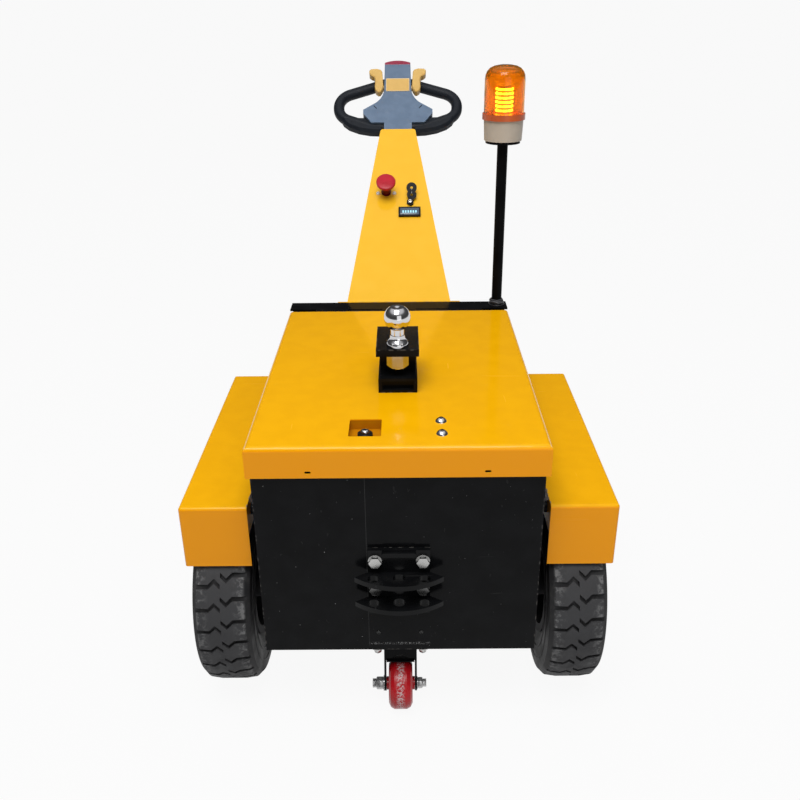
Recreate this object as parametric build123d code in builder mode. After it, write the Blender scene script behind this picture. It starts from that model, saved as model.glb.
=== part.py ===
"""Walk-behind electric tow tractor, in millimetres.

+Z is up, +Y points from the tow hitch to the handle, +X is the right-hand side when looking
from the hitch to the handle. The origin is on the floor, under the middle of the machine.
"""
import os
from math import cos, radians, sin

from build123d import *

os.makedirs("parts", exist_ok=True)

# Chassis tub
BODY_WIDTH = 510
BODY_LENGTH = 738
BODY_BOTTOM = 175
PLATE = 5
DECK_TOP = 617
DECK_DEPTH = 49
DECK_SHEET = 4

# Lid
LID_SHEET = 2
LID_SKIRT = 59
LID_GAP = 5
LID_BEND = 9
SEAL_WIDTH = 12
SEAL_INSET = 1
SEAL_HEIGHT = 8
HINGE_RADIUS = 6
HINGE_PIN_RADIUS = 3
HINGE_BACK = 8
HINGE_KNUCKLES = 5
HINGE_LENGTH = 400
LEAF_SHEET = 2
LEAF_DEPTH = 30
LIFT_SLOT = (11, 5)
LIFT_SLOT_X = 154
LIFT_SLOT_UP = 11

# Latch and screws on the lid
LATCH_X = -57
LATCH_Y = 66
LATCH_SIZE = (57, 65)
LATCH_DEPTH = 20
LATCH_CORNER = 3
LATCH_FLANGE = 8
LOCK_RADIUS = 11.5
LOCK_HEIGHT = 16
LOCK_Y = 56
LID_SCREW_X = 77
LID_SCREW_YS = (42, 90)
LID_SCREW_RADIUS = 10.5
LID_SCREW_HEIGHT = 7

# Tow ball and its bracket on the lid
BRACKET_Y = 210
BRACKET_LENGTH = 125
BRACKET_BASE = (74, 29)
BRACKET_POST = (68, 80)
BRACKET_TOP = (81, 14)
BRACKET_HEIGHT = 88
POCKET = (60, 18, 12)
BALL_RADIUS = 25
BALL_RISE = 55
BALL_FLAT = 21
BALL_BACK = 24
BALL_NECK_RADIUS = 13
BALL_SHOULDER = (18, 7)
BALL_DIMPLE = (6, 3)
BALL_FLANGE = (41, 10)
SHANK_RADIUS = 10
NUT_ACROSS = 36
NUT_HEIGHT = 27

# Hitch clevis on the rear plate
CLEVIS_PLATE = (112, 140, 10)
CLEVIS_BOTTOM = 270
CRESCENT_WIDTH = 160
CRESCENT_SHEET = 10
CRESCENT_TOPS = (363, 309)
CRESCENT_REACH = 53
CRESCENT_TIP = 25
PIN_RADIUS = 11
PIN_OUT = 28
SIDE_HOLE_RADIUS = 10
SIDE_HOLE_X = 46
SIDE_HOLE_OUT = 30
RIB = (62, 9, 6)
RIB_Z = 403
BOLT_X = 43
BOLT_ROWS = (388, 327)
BOLT_HEAD = (20, 7.5)
BOLT_WASHER = (12.5, 1.5)

# Drive axle and road wheels
AXLE_Y = 192
TYRE_RADIUS = 200
TYRE_WIDTH = 112
TREAD_WIDTH = 108
TREAD_SHOULDER = 10
TREAD_CROWN = 3
TREAD_FLAT = 0.45
SIDEWALL_RISE = 18
SIDEWALL_IN = 2
GROOVES = 28
GROOVE_WIDTH = 9
GROOVE_DEPTH = 8
GROOVE_OVER = 3
# Middle of a groove on the tread's right half: share of the half width, and how far it steps along the tread
GROOVE_LINE = ((1.2, 0), (0.42, 0), (0.21, -11), (0, 0))
WHEEL_X = 336
RIM_RADIUS = 101.5
RIM_WIDTH = 92
RIM_WALL = 4
RIM_LIP = 12
RIM_DISC = 6
RIM_DISC_OUT = 12
RIM_HOLES = 5
RIM_HOLE_RADIUS = 13
HUB_RADIUS = 38
HUB_END = 34
STUB_RADIUS = 17.5
STUB_LENGTH = 92
BEARING_FLANGE = (46, 10)
AXLE_TUBE_RADIUS = 20
AXLE_HOLE_GAP = 1
HOUSING_RADIUS = 68
HOUSING_WIDTH = 130
MOTOR_RADIUS = 58
MOTOR_LENGTH = 168
MOTOR_RISE = 46
RUN_GAP = 0.3
MOVE_GAP = 5

# Fenders
FENDER_OUT = 400
FENDER_WIDTH = 125
FENDER_Y = 40
FENDER_LENGTH = 594
FENDER_BOTTOM = 342
FENDER_TOP = 469
FENDER_SHEET = 2.5
FENDER_BEND = 6
FENDER_FLANGE = 59
STAY_RADIUS = 11
STAY_DROP = 29
STAY_INSET = 45
STAY_ROWS = 3

# Castors
CASTOR_REAR_Y = 80
CASTOR_FRONT_Y = 640
CASTOR_RADIUS = 50
CASTOR_TREAD = 47
CASTOR_TRAIL = 37
CASTOR_PAD = (112, 90, 24)
CASTOR_PLATE = (108, 90, 8)
CASTOR_BOLT = (13, 8)
CASTOR_BOLT_GRID = (88, 70)
FORK_SHEET = 4
FORK_CROWN = 12
FORK_CROWN_RADIUS = 31
FORK_TOP = 44
FORK_EYE = 15
FORK_WEB_LOW = 106
FORK_ARCH_RADIUS = 22
FORK_ARCH_DROP = 11
KINGPIN_RADIUS = 8
CASTOR_AXLE_RADIUS = 6
CASTOR_AXLE_LENGTH = 97
CASTOR_NUT = (18, 9)
CASTOR_HUB_RADIUS = 13
CASTOR_BEVELS = ((0, 12), (4, 4), (11, 0))

# Batteries
BATTERY_WIDTH = 172
BATTERY_HEIGHT = 220
BATTERY_GAP = 12
BATTERY_FROM_FRONT = 30

# Tiller arm, leaning from the vertical
ARM_LEAN = 50
ARM_FOOT_WIDTH = 254
ARM_TOP_WIDTH = 94
ARM_LENGTH = 546
ARM_DEPTH = 70
ARM_SHEET = 3
ARM_CORNER = 8
FOOT_PLATE = (300, 108, 6)

# Controls on the arm
STOP_X = -31.5
STOP_T = 333
STOP_BASE = (13, 3)
# Turned outline of the knob above its base: radius, height
STOP_OUTLINE = ((10.5, 0), (11, 14), (14, 22), (22, 31), (25, 35), (25, 40), (23.5, 42), (20, 43))
KEY_X = 31
KEY_T = 297
KEY_BARREL = (9, 6)
KEY_TILT = 25
KEY_SHANK = (9, 26)
KEY_PLATE = 4
# Bows of the two keys: across, along the key, radius
KEY_BOWS = ((4, 20, 12.5), (4, 38.5, 13.5))
KEY_BOW_HOLE = 3.5
GAUGE_X = 29
GAUGE_T = 267
GAUGE = (55, 26, 5)

# Tiller head, on the slope of the arm
HEAD_SUNK = 3
HEAD_DEPTH = 44
HEAD_STEM = 76
HEAD_LENGTH = 239
WING_WIDTH = 192
WING_LOW_WIDTH = 146
WING_LOW_UP = 27
WING_TIP_UPS = (60, 73)
# Flank of the head from the wing to the nose: across, up from the arm's end
HEAD_FLANK = ((61, 98), (49, 112), (38, 150))
HEAD_TOP_WIDTH = 73
LOOP_RADIUS = 15
LOOP_SUNK = 24
# Corners of the loop's right half from the head to the stem: across, up from the arm's end, bend radius
LOOP_CORNERS = ((28, 187, 0), (167, 134, 50), (163, 64, 45), (70, 25, 60))
# Outline of the loop's deeper foot on the right: across, up from the arm's end
LOOP_FOOT = ((39, 1), (76, 3), (107, 10), (135, 23), (150, 37), (158, 54), (146, 60), (126, 57), (39, 54))
LOOP_FOOT_DEPTH = 28
LOOP_FOOT_BEND = 7
BUTTON_LENGTH = 16
BUTTON_SIDE = 8
LABEL = (63, 44, 1.2)
LABEL_UP = 162
LABEL_CORNER = 4
# Outline of the right-hand throttle lever: across, up from the arm's end
LEVER_OUTLINE = (
    (43, 198), (47, 206), (58, 210), (75, 209), (80, 202), (79, 190), (72, 183), (66, 180),
    (63, 170), (63, 158), (64, 143), (61, 130), (54, 123), (48, 124), (42, 135), (40, 149), (41, 167),
)
LEVER_TOP = 12
LEVER_DEPTH = 20
LEVER_CORNER = 3
LEVER_EDGE = 2
LEVER_BOSS = (8, 8)
LEVER_BOSS_UP = 158
LEVER_BOSS_SUNK = 13

# Beacon
POLE_X = 238
POLE_FROM_FRONT = 17
POLE_RADIUS = 12
POLE_FOOT = (17, 5)
POLE_HEIGHT = 381
BEACON_FLANGE = (39, 6)
BEACON_BASE = (42, 44, 45)
BEACON_COLLAR = (47.5, 13)
LENS_RADIUS = 44.5
LENS_HEIGHT = 100
# Dome of the lens: share of the radius, drop from the top
LENS_DOME = ((0.3, 0), (0.55, 2), (0.75, 6), (0.9, 13), (0.97, 20), (1, 28))
LENS_WALL = 3
LED_ROWS = 6
LED_COLUMNS = 8
LED_POST_RADIUS = 15
LED_POST_HEIGHT = 54
LED_BAR = (8, 8, 4.6)
LED_FIRST = 6
LED_PITCH = 8.9

# Places worked out from the sizes
lean = radians(ARM_LEAN)
foot_out = BODY_LENGTH + FOOT_PLATE[2]
button_end = HEAD_LENGTH + BUTTON_LENGTH
head_reach = foot_out + (ARM_LENGTH + button_end) * sin(lean) + (HEAD_SUNK + HEAD_DEPTH) * cos(lean)
REAR_FACE = CRESCENT_REACH - (head_reach + CRESCENT_REACH) / 2
FRONT_FACE = REAR_FACE + BODY_LENGTH
half_body = BODY_WIDTH / 2
half_lid = half_body + LID_GAP + LID_SHEET
lid_low = REAR_FACE - LID_GAP - LID_SHEET
deck_edge = FRONT_FACE - DECK_DEPTH
hinge_y = deck_edge - HINGE_BACK
hinge_z = DECK_TOP - HINGE_RADIUS
lid_high = hinge_y - HINGE_BACK
lid_under = DECK_TOP - LID_SHEET
plate_top = lid_under - SEAL_HEIGHT
axle_y = REAR_FACE + AXLE_Y
axle_z = TYRE_RADIUS
floor_top = BODY_BOTTOM + PLATE

# The arm's sloping face: x across, y up the slope, z out of the face
ARM_FACE = Plane(
    origin=(0, FRONT_FACE + FOOT_PLATE[2], DECK_TOP), x_dir=(1, 0, 0), z_dir=(0, -cos(lean), sin(lean))
)

# The head's faces start at the arm's end
ARM_END = Plane(origin=ARM_FACE.from_local_coords((0, ARM_LENGTH, 0)), x_dir=(1, 0, 0), z_dir=ARM_FACE.z_dir)
HEAD_FACE = ARM_END.offset(-HEAD_SUNK)
LOOP_FACE = ARM_END.offset(-LOOP_SUNK)
LEVER_FACE = ARM_END.offset(LEVER_TOP)
SIDES = (("left", -1), ("right", 1))
BOTTOM = (Align.CENTER, Align.CENTER, Align.MIN)
TOP = (Align.CENTER, Align.CENTER, Align.MAX)


def save(piece, node):
    """Label a finished piece and write it as its own file."""
    piece.part.label = node
    export_step(piece.part, f"parts/{node}.step")


def on_arm(x, t, face=ARM_FACE):
    """A plane on the arm's face at x across and t up the slope."""
    return Plane(origin=face.from_local_coords((x, t, 0)), x_dir=(1, 0, 0), z_dir=face.z_dir)


# Rear plate, behind the hitch
with BuildPart() as rear_plate:
    with BuildSketch(Plane.XZ.offset(-REAR_FACE)):
        with Locations((0, (BODY_BOTTOM + plate_top) / 2)):
            Rectangle(BODY_WIDTH, plate_top - BODY_BOTTOM)
    extrude(amount=-PLATE)
save(rear_plate, "rear_plate")

# Side plates, with the axle holes and a raised shoulder under the deck
side_low = REAR_FACE + PLATE
side_high = FRONT_FACE - PLATE
for side, sign in SIDES:
    with BuildPart() as side_plate:
        with BuildSketch(Plane.YZ.offset(sign * half_body)):
            with BuildLine():
                Polyline(
                    (side_low, BODY_BOTTOM),
                    (side_high, BODY_BOTTOM),
                    (side_high, DECK_TOP - DECK_SHEET),
                    (deck_edge, DECK_TOP - DECK_SHEET),
                    (deck_edge, plate_top),
                    (side_low, plate_top),
                    close=True,
                )
            make_face()
            with Locations((axle_y, axle_z)):
                Circle(AXLE_TUBE_RADIUS + AXLE_HOLE_GAP, mode=Mode.SUBTRACT)
        extrude(amount=-sign * PLATE)
    save(side_plate, f"side_plate_{side}")

# Front plate, under the deck
with BuildPart() as front_plate:
    with BuildSketch(Plane.XZ.offset(-FRONT_FACE)):
        with Locations((0, (BODY_BOTTOM + DECK_TOP - DECK_SHEET) / 2)):
            Rectangle(BODY_WIDTH, DECK_TOP - DECK_SHEET - BODY_BOTTOM)
    extrude(amount=PLATE)
save(front_plate, "front_plate")

# Floor plate, cut out for the drive unit
with BuildPart() as floor_plate:
    with BuildSketch(Plane.XY.offset(BODY_BOTTOM)):
        with Locations((0, (side_low + side_high) / 2)):
            Rectangle(BODY_WIDTH - 2 * PLATE, side_high - side_low)
        with Locations((0, axle_y)):
            Rectangle(HOUSING_WIDTH + 2 * MOVE_GAP, 2 * HOUSING_RADIUS + MOVE_GAP, mode=Mode.SUBTRACT)
    extrude(amount=PLATE)
save(floor_plate, "floor_plate")

# Front deck, with its share of the hinge knuckles on the pin
knuckle = HINGE_LENGTH / HINGE_KNUCKLES
knuckle_xs = [(i - (HINGE_KNUCKLES - 1) / 2) * knuckle for i in range(HINGE_KNUCKLES)]
hinge_plane = Plane(origin=(0, hinge_y, hinge_z), x_dir=(0, 1, 0), z_dir=(1, 0, 0))
with BuildPart() as front_deck:
    with BuildSketch(Plane.XY.offset(DECK_TOP)):
        with Locations((0, FRONT_FACE - DECK_DEPTH / 2)):
            Rectangle(2 * half_lid, DECK_DEPTH)
    extrude(amount=-DECK_SHEET)
    for x in knuckle_xs[::2]:
        with BuildSketch(hinge_plane.offset(x - knuckle / 2 + RUN_GAP)):
            Circle(HINGE_RADIUS)
            with Locations((HINGE_BACK / 2, HINGE_RADIUS - DECK_SHEET / 2)):
                Rectangle(HINGE_BACK, DECK_SHEET)
        extrude(amount=knuckle - 2 * RUN_GAP)
    with BuildSketch(hinge_plane.offset(-HINGE_LENGTH / 2 + RUN_GAP)):
        Circle(HINGE_PIN_RADIUS)
    extrude(amount=HINGE_LENGTH - 2 * RUN_GAP)
save(front_deck, "front_deck")

# Rubber seal on the tub's top edge, under the lid
seal_out = half_lid - LID_BEND - SEAL_INSET
seal_low = lid_low + LID_BEND + SEAL_INSET
seal_high = hinge_y - LEAF_DEPTH - MOVE_GAP
with BuildPart() as lid_seal:
    with BuildSketch(Plane.XY.offset(plate_top)):
        with Locations((0, (seal_low + seal_high) / 2)):
            Rectangle(2 * seal_out, seal_high - seal_low)
        with Locations((0, (seal_low + seal_high) / 2 + SEAL_WIDTH)):
            Rectangle(2 * (seal_out - SEAL_WIDTH), seal_high - seal_low, mode=Mode.SUBTRACT)
    extrude(amount=SEAL_HEIGHT)
save(lid_seal, "lid_seal")

# Batteries, standing on the floor plate between the motor and the front plate
battery_low = axle_y + MOTOR_LENGTH + BATTERY_GAP
battery_high = FRONT_FACE - PLATE - BATTERY_FROM_FRONT
with BuildPart() as battery_pack:
    with Locations((0, (battery_low + battery_high) / 2, floor_top)):
        with GridLocations(BATTERY_WIDTH + BATTERY_GAP, 0, 2, 1):
            Box(BATTERY_WIDTH, battery_high - battery_low, BATTERY_HEIGHT, align=BOTTOM)
save(battery_pack, "battery_pack")

# Drive unit: differential housing, axle tubes, bearing flanges, stub axles and motor
flange_out = half_body + BEARING_FLANGE[1]
with BuildPart() as drive_unit:
    with Locations((0, axle_y, axle_z)):
        Cylinder(HOUSING_RADIUS, HOUSING_WIDTH, rotation=(0, 90, 0))
    fillet(drive_unit.edges().filter_by(GeomType.CIRCLE), HOUSING_WIDTH / 6)
    with Locations((0, axle_y, axle_z)):
        Cylinder(AXLE_TUBE_RADIUS, 2 * half_body, rotation=(0, 90, 0))
        Cylinder(STUB_RADIUS, 2 * (flange_out + STUB_LENGTH), rotation=(0, 90, 0))
    for side, sign in SIDES:
        with BuildSketch(Plane.YZ.offset(sign * half_body)):
            with Locations((axle_y, axle_z)):
                Circle(BEARING_FLANGE[0])
        extrude(amount=sign * BEARING_FLANGE[1])
    with BuildSketch(Plane.XZ.offset(-axle_y)):
        with Locations((0, axle_z + MOTOR_RISE)):
            Circle(MOTOR_RADIUS)
    extrude(amount=-MOTOR_LENGTH)
save(drive_unit, "drive_unit")

# Hitch clevis: back plate, two crescent plates and a rib
with BuildPart() as hitch_clevis:
    with BuildSketch(Plane.XZ.offset(-REAR_FACE)):
        with Locations((0, CLEVIS_BOTTOM + CLEVIS_PLATE[1] / 2)):
            Rectangle(CLEVIS_PLATE[0], CLEVIS_PLATE[1])
    extrude(amount=CLEVIS_PLATE[2])
    plate_out = REAR_FACE - CLEVIS_PLATE[2]
    for top in CRESCENT_TOPS:
        with BuildSketch(Plane.XY.offset(top)):
            with BuildLine():
                tip_y = REAR_FACE - CRESCENT_TIP
                arc = ThreePointArc(
                    (-CRESCENT_WIDTH / 2, tip_y), (0, REAR_FACE - CRESCENT_REACH), (CRESCENT_WIDTH / 2, tip_y)
                )
                Polyline(arc @ 1, (CLEVIS_PLATE[0] / 2, plate_out), (-CLEVIS_PLATE[0] / 2, plate_out), arc @ 0)
            make_face()
            with Locations((0, REAR_FACE - PIN_OUT)):
                Circle(PIN_RADIUS, mode=Mode.SUBTRACT)
            with Locations((0, REAR_FACE - SIDE_HOLE_OUT)):
                with GridLocations(2 * SIDE_HOLE_X, 0, 2, 1):
                    Circle(SIDE_HOLE_RADIUS, mode=Mode.SUBTRACT)
        extrude(amount=-CRESCENT_SHEET)
    with BuildSketch(Plane.XZ.offset(-plate_out)):
        with Locations((0, RIB_Z)):
            SlotOverall(RIB[0], RIB[1])
    extrude(amount=RIB[2])
save(hitch_clevis, "hitch_clevis")

# Hitch bolts, hex heads on washers
with BuildPart() as hitch_bolts:
    for row in BOLT_ROWS:
        for x in (-BOLT_X, BOLT_X):
            with BuildSketch(Plane.XZ.offset(-plate_out)):
                with Locations((x, row)):
                    Circle(BOLT_WASHER[0])
            extrude(amount=BOLT_WASHER[1])
            with BuildSketch(Plane.XZ.offset(-plate_out + BOLT_WASHER[1])):
                with Locations((x, row)):
                    RegularPolygon(BOLT_HEAD[0] / 2, 6, major_radius=False)
            extrude(amount=BOLT_HEAD[1])
save(hitch_bolts, "hitch_bolts")

# Fenders: folded boxes, open below and inside under a short flange
fender_low = REAR_FACE + FENDER_Y
fender_high = fender_low + FENDER_LENGTH
fender_in = FENDER_OUT - FENDER_WIDTH
for side, sign in SIDES:
    with BuildPart() as fender:
        with Locations((sign * (FENDER_OUT - FENDER_WIDTH / 2), (fender_low + fender_high) / 2, FENDER_BOTTOM)):
            Box(FENDER_WIDTH, FENDER_LENGTH, FENDER_TOP - FENDER_BOTTOM, align=BOTTOM)
        outer = fender.faces().sort_by(Axis.X)[-1 if sign > 0 else 0]
        fillet(outer.edges().sort_by(Axis.Z)[1:] + fender.edges().filter_by(Axis.X).group_by(Axis.Z)[-1], FENDER_BEND)
        offset(amount=-FENDER_SHEET, openings=fender.faces().sort_by(Axis.Z)[0])
        with Locations((sign * fender_in, (fender_low + fender_high) / 2, FENDER_BOTTOM)):
            Box(
                4 * FENDER_SHEET,
                FENDER_LENGTH - 2 * FENDER_SHEET,
                FENDER_TOP - FENDER_BOTTOM - FENDER_FLANGE,
                align=BOTTOM,
                mode=Mode.SUBTRACT,
            )
    save(fender, f"fender_{side}")

# Fender stays, spacers between the tub and the fender flanges
stay_span = FENDER_LENGTH - 2 * STAY_INSET
with BuildPart() as fender_stays:
    for side, sign in SIDES:
        with BuildSketch(Plane.YZ.offset(sign * half_body)):
            with Locations(((fender_low + fender_high) / 2, FENDER_TOP - STAY_DROP)):
                with GridLocations(stay_span / (STAY_ROWS - 1), 0, STAY_ROWS, 1):
                    Circle(STAY_RADIUS)
        extrude(amount=sign * (fender_in - half_body))
save(fender_stays, "fender_stays")

# Castors: pad and plate under the floor, swivelling fork with its axle, and wheel
plate_low = BODY_BOTTOM - CASTOR_PAD[2] - CASTOR_PLATE[2]
fork_in = CASTOR_TREAD / 2 + MOVE_GAP
fork_out = fork_in + FORK_SHEET
crown_top = plate_low - RUN_GAP
crown_low = crown_top - FORK_CROWN
for end, along in (("rear", CASTOR_REAR_Y), ("front", CASTOR_FRONT_Y)):
    pin_y = REAR_FACE + along
    wheel_y = pin_y - CASTOR_TRAIL
    with BuildPart() as castor_pad:
        with Locations((0, pin_y, BODY_BOTTOM)):
            Box(*CASTOR_PAD, align=TOP)
            Cylinder(KINGPIN_RADIUS + RUN_GAP, CASTOR_PAD[2], align=TOP, mode=Mode.SUBTRACT)
    save(castor_pad, f"castor_pad_{end}")

    with BuildPart() as castor_plate:
        with Locations((0, pin_y, BODY_BOTTOM - CASTOR_PAD[2])):
            Box(*CASTOR_PLATE, align=TOP)
            Cylinder(KINGPIN_RADIUS + RUN_GAP, CASTOR_PLATE[2], align=TOP, mode=Mode.SUBTRACT)
        with BuildSketch(Plane.XY.offset(plate_low)):
            with Locations((0, pin_y)):
                with GridLocations(*CASTOR_BOLT_GRID, 2, 2):
                    RegularPolygon(CASTOR_BOLT[0] / 2, 6, major_radius=False)
        extrude(amount=-CASTOR_BOLT[1])
    save(castor_plate, f"castor_plate_{end}")

    with BuildPart() as castor_fork:
        with Locations((0, pin_y, crown_top)):
            Cylinder(FORK_CROWN_RADIUS, FORK_CROWN, align=TOP)
        with Locations((0, pin_y, crown_low)):
            Cylinder(KINGPIN_RADIUS, BODY_BOTTOM - crown_low - RUN_GAP, align=BOTTOM)
        for side, sign in SIDES:
            with BuildSketch(Plane.YZ.offset(sign * fork_out)):
                with BuildLine():
                    Polyline(
                        (pin_y - FORK_TOP / 2, crown_top),
                        (pin_y + FORK_TOP / 2, crown_top),
                        (pin_y + FORK_TOP / 2, crown_low - FORK_CROWN),
                        (wheel_y + FORK_EYE, CASTOR_RADIUS),
                        (wheel_y - FORK_EYE, CASTOR_RADIUS),
                        close=True,
                    )
                make_face()
                with Locations((wheel_y, CASTOR_RADIUS)):
                    Circle(FORK_EYE)
            extrude(amount=-sign * FORK_SHEET)
        with Locations((0, pin_y, crown_low)):
            Box(2 * fork_out, FORK_TOP, FORK_CROWN, align=BOTTOM)
        edge_run = (wheel_y - FORK_EYE - pin_y + FORK_TOP / 2) / (crown_top - CASTOR_RADIUS)
        web_top = pin_y - FORK_TOP / 2
        web_foot = web_top + edge_run * (crown_top - FORK_WEB_LOW)
        with BuildSketch(Plane.YZ.offset(-fork_out)):
            with BuildLine():
                Polyline(
                    (web_top, crown_top),
                    (web_foot, FORK_WEB_LOW),
                    (web_foot + FORK_SHEET, FORK_WEB_LOW),
                    (web_top + FORK_SHEET, crown_top),
                    close=True,
                )
            make_face()
        extrude(amount=2 * fork_out)
        with BuildSketch(Plane.XZ.offset(-web_top)):
            with Locations((0, FORK_WEB_LOW - FORK_ARCH_DROP)):
                Circle(FORK_ARCH_RADIUS)
        extrude(amount=FORK_TOP / 2, both=True, mode=Mode.SUBTRACT)
        with Locations((0, wheel_y, CASTOR_RADIUS)):
            Cylinder(CASTOR_AXLE_RADIUS, CASTOR_AXLE_LENGTH, rotation=(0, 90, 0))
        for side, sign in SIDES:
            with BuildSketch(Plane.YZ.offset(sign * fork_out)):
                with Locations((wheel_y, CASTOR_RADIUS)):
                    RegularPolygon(CASTOR_NUT[0] / 2, 6, major_radius=False)
            extrude(amount=sign * CASTOR_NUT[1])
    save(castor_fork, f"castor_fork_{end}")

    with BuildPart() as castor_wheel:
        profile_plane = Plane(origin=(0, wheel_y, CASTOR_RADIUS), x_dir=(1, 0, 0), z_dir=(0, -1, 0))
        with BuildSketch(profile_plane):
            with BuildLine():
                half_hub = fork_in - RUN_GAP
                half_tread = CASTOR_TREAD / 2
                bore = CASTOR_AXLE_RADIUS + RUN_GAP
                Polyline(
                    (0, bore),
                    (half_hub, bore),
                    (half_hub, CASTOR_HUB_RADIUS),
                    (half_tread, CASTOR_HUB_RADIUS),
                    *[(half_tread - inward, CASTOR_RADIUS - drop) for inward, drop in CASTOR_BEVELS],
                    (0, CASTOR_RADIUS),
                )
                mirror(about=Plane.YZ)
            make_face()
        revolve(axis=Axis((0, wheel_y, CASTOR_RADIUS), (1, 0, 0)))
    save(castor_wheel, f"castor_wheel_{end}")

# Road wheels: tyre and rim on the stub axle
half_rim = RIM_WIDTH / 2
half_tyre = TYRE_WIDTH / 2
half_tread = TREAD_WIDTH / 2
bead_top = RIM_RADIUS + RIM_LIP
hub_in = WHEEL_X - flange_out - MOVE_GAP
bulge_radius = (TYRE_RADIUS + bead_top) / 2
groove_pitch = 360 / GROOVES
half_pitch = radians(groove_pitch / 2) * TYRE_RADIUS
groove_middle = [(share * half_tread, along) for share, along in GROOVE_LINE]
groove_edge = [(x, along + GROOVE_WIDTH / 2) for x, along in groove_middle]
groove_edge += [(x, along - GROOVE_WIDTH / 2) for x, along in reversed(groove_middle)]
for side, sign in SIDES:
    wheel_centre = (sign * WHEEL_X, axle_y, axle_z)
    section = Plane(origin=wheel_centre, x_dir=(sign, 0, 0), z_dir=(0, -sign, 0))
    spin = Axis(wheel_centre, (1, 0, 0))
    with BuildPart() as tyre:
        with BuildSketch(section):
            with BuildLine():
                shoulder = TYRE_RADIUS - TREAD_CROWN - TREAD_SHOULDER
                tread_edge = half_tread - TREAD_SHOULDER
                Polyline(
                    (0, RIM_RADIUS),
                    (half_rim, RIM_RADIUS),
                    (half_rim, bead_top),
                    (half_tyre - SIDEWALL_IN, bead_top + SIDEWALL_RISE),
                    (half_tyre, bulge_radius),
                    (half_tread, shoulder),
                    (tread_edge, TYRE_RADIUS - TREAD_CROWN),
                    (TREAD_FLAT * half_tread, TYRE_RADIUS),
                    (0, TYRE_RADIUS),
                )
                mirror(about=Plane.YZ)
            make_face()
        revolve(axis=spin)
        groove_floors = []
        for i in range(GROOVES):
            out = Vector(0, 0, 1).rotate(Axis.X, i * groove_pitch)
            foot = Vector(*wheel_centre) + out * (TYRE_RADIUS - GROOVE_DEPTH)
            groove_floors.append(Plane(origin=foot, x_dir=(1, 0, 0), z_dir=out))
        with BuildSketch(*groove_floors):
            with BuildLine():
                Polyline(*groove_edge, close=True)
            make_face()
            with BuildLine():
                Polyline(*[(-x, half_pitch - along) for x, along in groove_edge], close=True)
            make_face()
        extrude(amount=GROOVE_DEPTH + GROOVE_OVER, mode=Mode.SUBTRACT)
    save(tyre, f"tyre_{side}")

    with BuildPart() as rim:
        with BuildSketch(section):
            with BuildLine():
                seat = RIM_RADIUS - RUN_GAP
                lip_in = half_rim + RUN_GAP
                lip_out = lip_in + RIM_WALL
                Polyline(
                    (-lip_out, bead_top),
                    (-lip_in, bead_top),
                    (-lip_in, seat),
                    (lip_in, seat),
                    (lip_in, bead_top),
                    (lip_out, bead_top),
                    (lip_out, seat - RIM_WALL),
                    (-lip_out, seat - RIM_WALL),
                    close=True,
                )
            make_face()
            with Locations((RIM_DISC_OUT, seat / 2)):
                Rectangle(RIM_DISC, seat)
            with Locations(((HUB_END - hub_in) / 2, HUB_RADIUS / 2)):
                Rectangle(HUB_END + hub_in, HUB_RADIUS)
        revolve(axis=spin)
        with BuildSketch(Plane.YZ.offset(sign * (WHEEL_X - hub_in))):
            with Locations((axle_y, axle_z)):
                Circle(STUB_RADIUS + RUN_GAP)
        extrude(amount=sign * (flange_out + STUB_LENGTH + MOVE_GAP - WHEEL_X + hub_in), mode=Mode.SUBTRACT)
        with BuildSketch(Plane.YZ.offset(sign * (WHEEL_X + RIM_DISC_OUT - RIM_DISC))):
            with Locations((axle_y, axle_z)):
                with PolarLocations((HUB_RADIUS + seat - RIM_WALL) / 2, RIM_HOLES):
                    Circle(RIM_HOLE_RADIUS)
        extrude(amount=sign * 2 * RIM_DISC, mode=Mode.SUBTRACT)
    save(rim, f"rim_{side}")

# Lid: one folded sheet with skirts on three sides
latch_centre = (LATCH_X, REAR_FACE + LATCH_Y)
with BuildPart() as lid:
    with Locations((0, (lid_low + lid_high) / 2, DECK_TOP)):
        Box(2 * half_lid, lid_high - lid_low, LID_SKIRT, align=TOP)
    top_edges = lid.faces().sort_by(Axis.Z)[-1].edges().sort_by(Axis.Y)[:3]
    fillet(top_edges, LID_BEND)
    offset(
        amount=-LID_SHEET,
        openings=[lid.faces().sort_by(Axis.Z)[0], lid.faces().sort_by(Axis.Y)[-1]],
    )
    with BuildSketch(Plane.XY.offset(DECK_TOP)):
        with Locations(latch_centre):
            RectangleRounded(LATCH_SIZE[0], LATCH_SIZE[1], LATCH_CORNER)
    extrude(amount=-2 * LID_SHEET, mode=Mode.SUBTRACT)
    with BuildSketch(Plane.XZ.offset(-lid_low)):
        with Locations((0, DECK_TOP - LID_SKIRT + LIFT_SLOT_UP)):
            with GridLocations(2 * LIFT_SLOT_X, 0, 2, 1):
                SlotOverall(*LIFT_SLOT)
    extrude(amount=-2 * LID_SHEET, mode=Mode.SUBTRACT)
save(lid, "lid")

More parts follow.
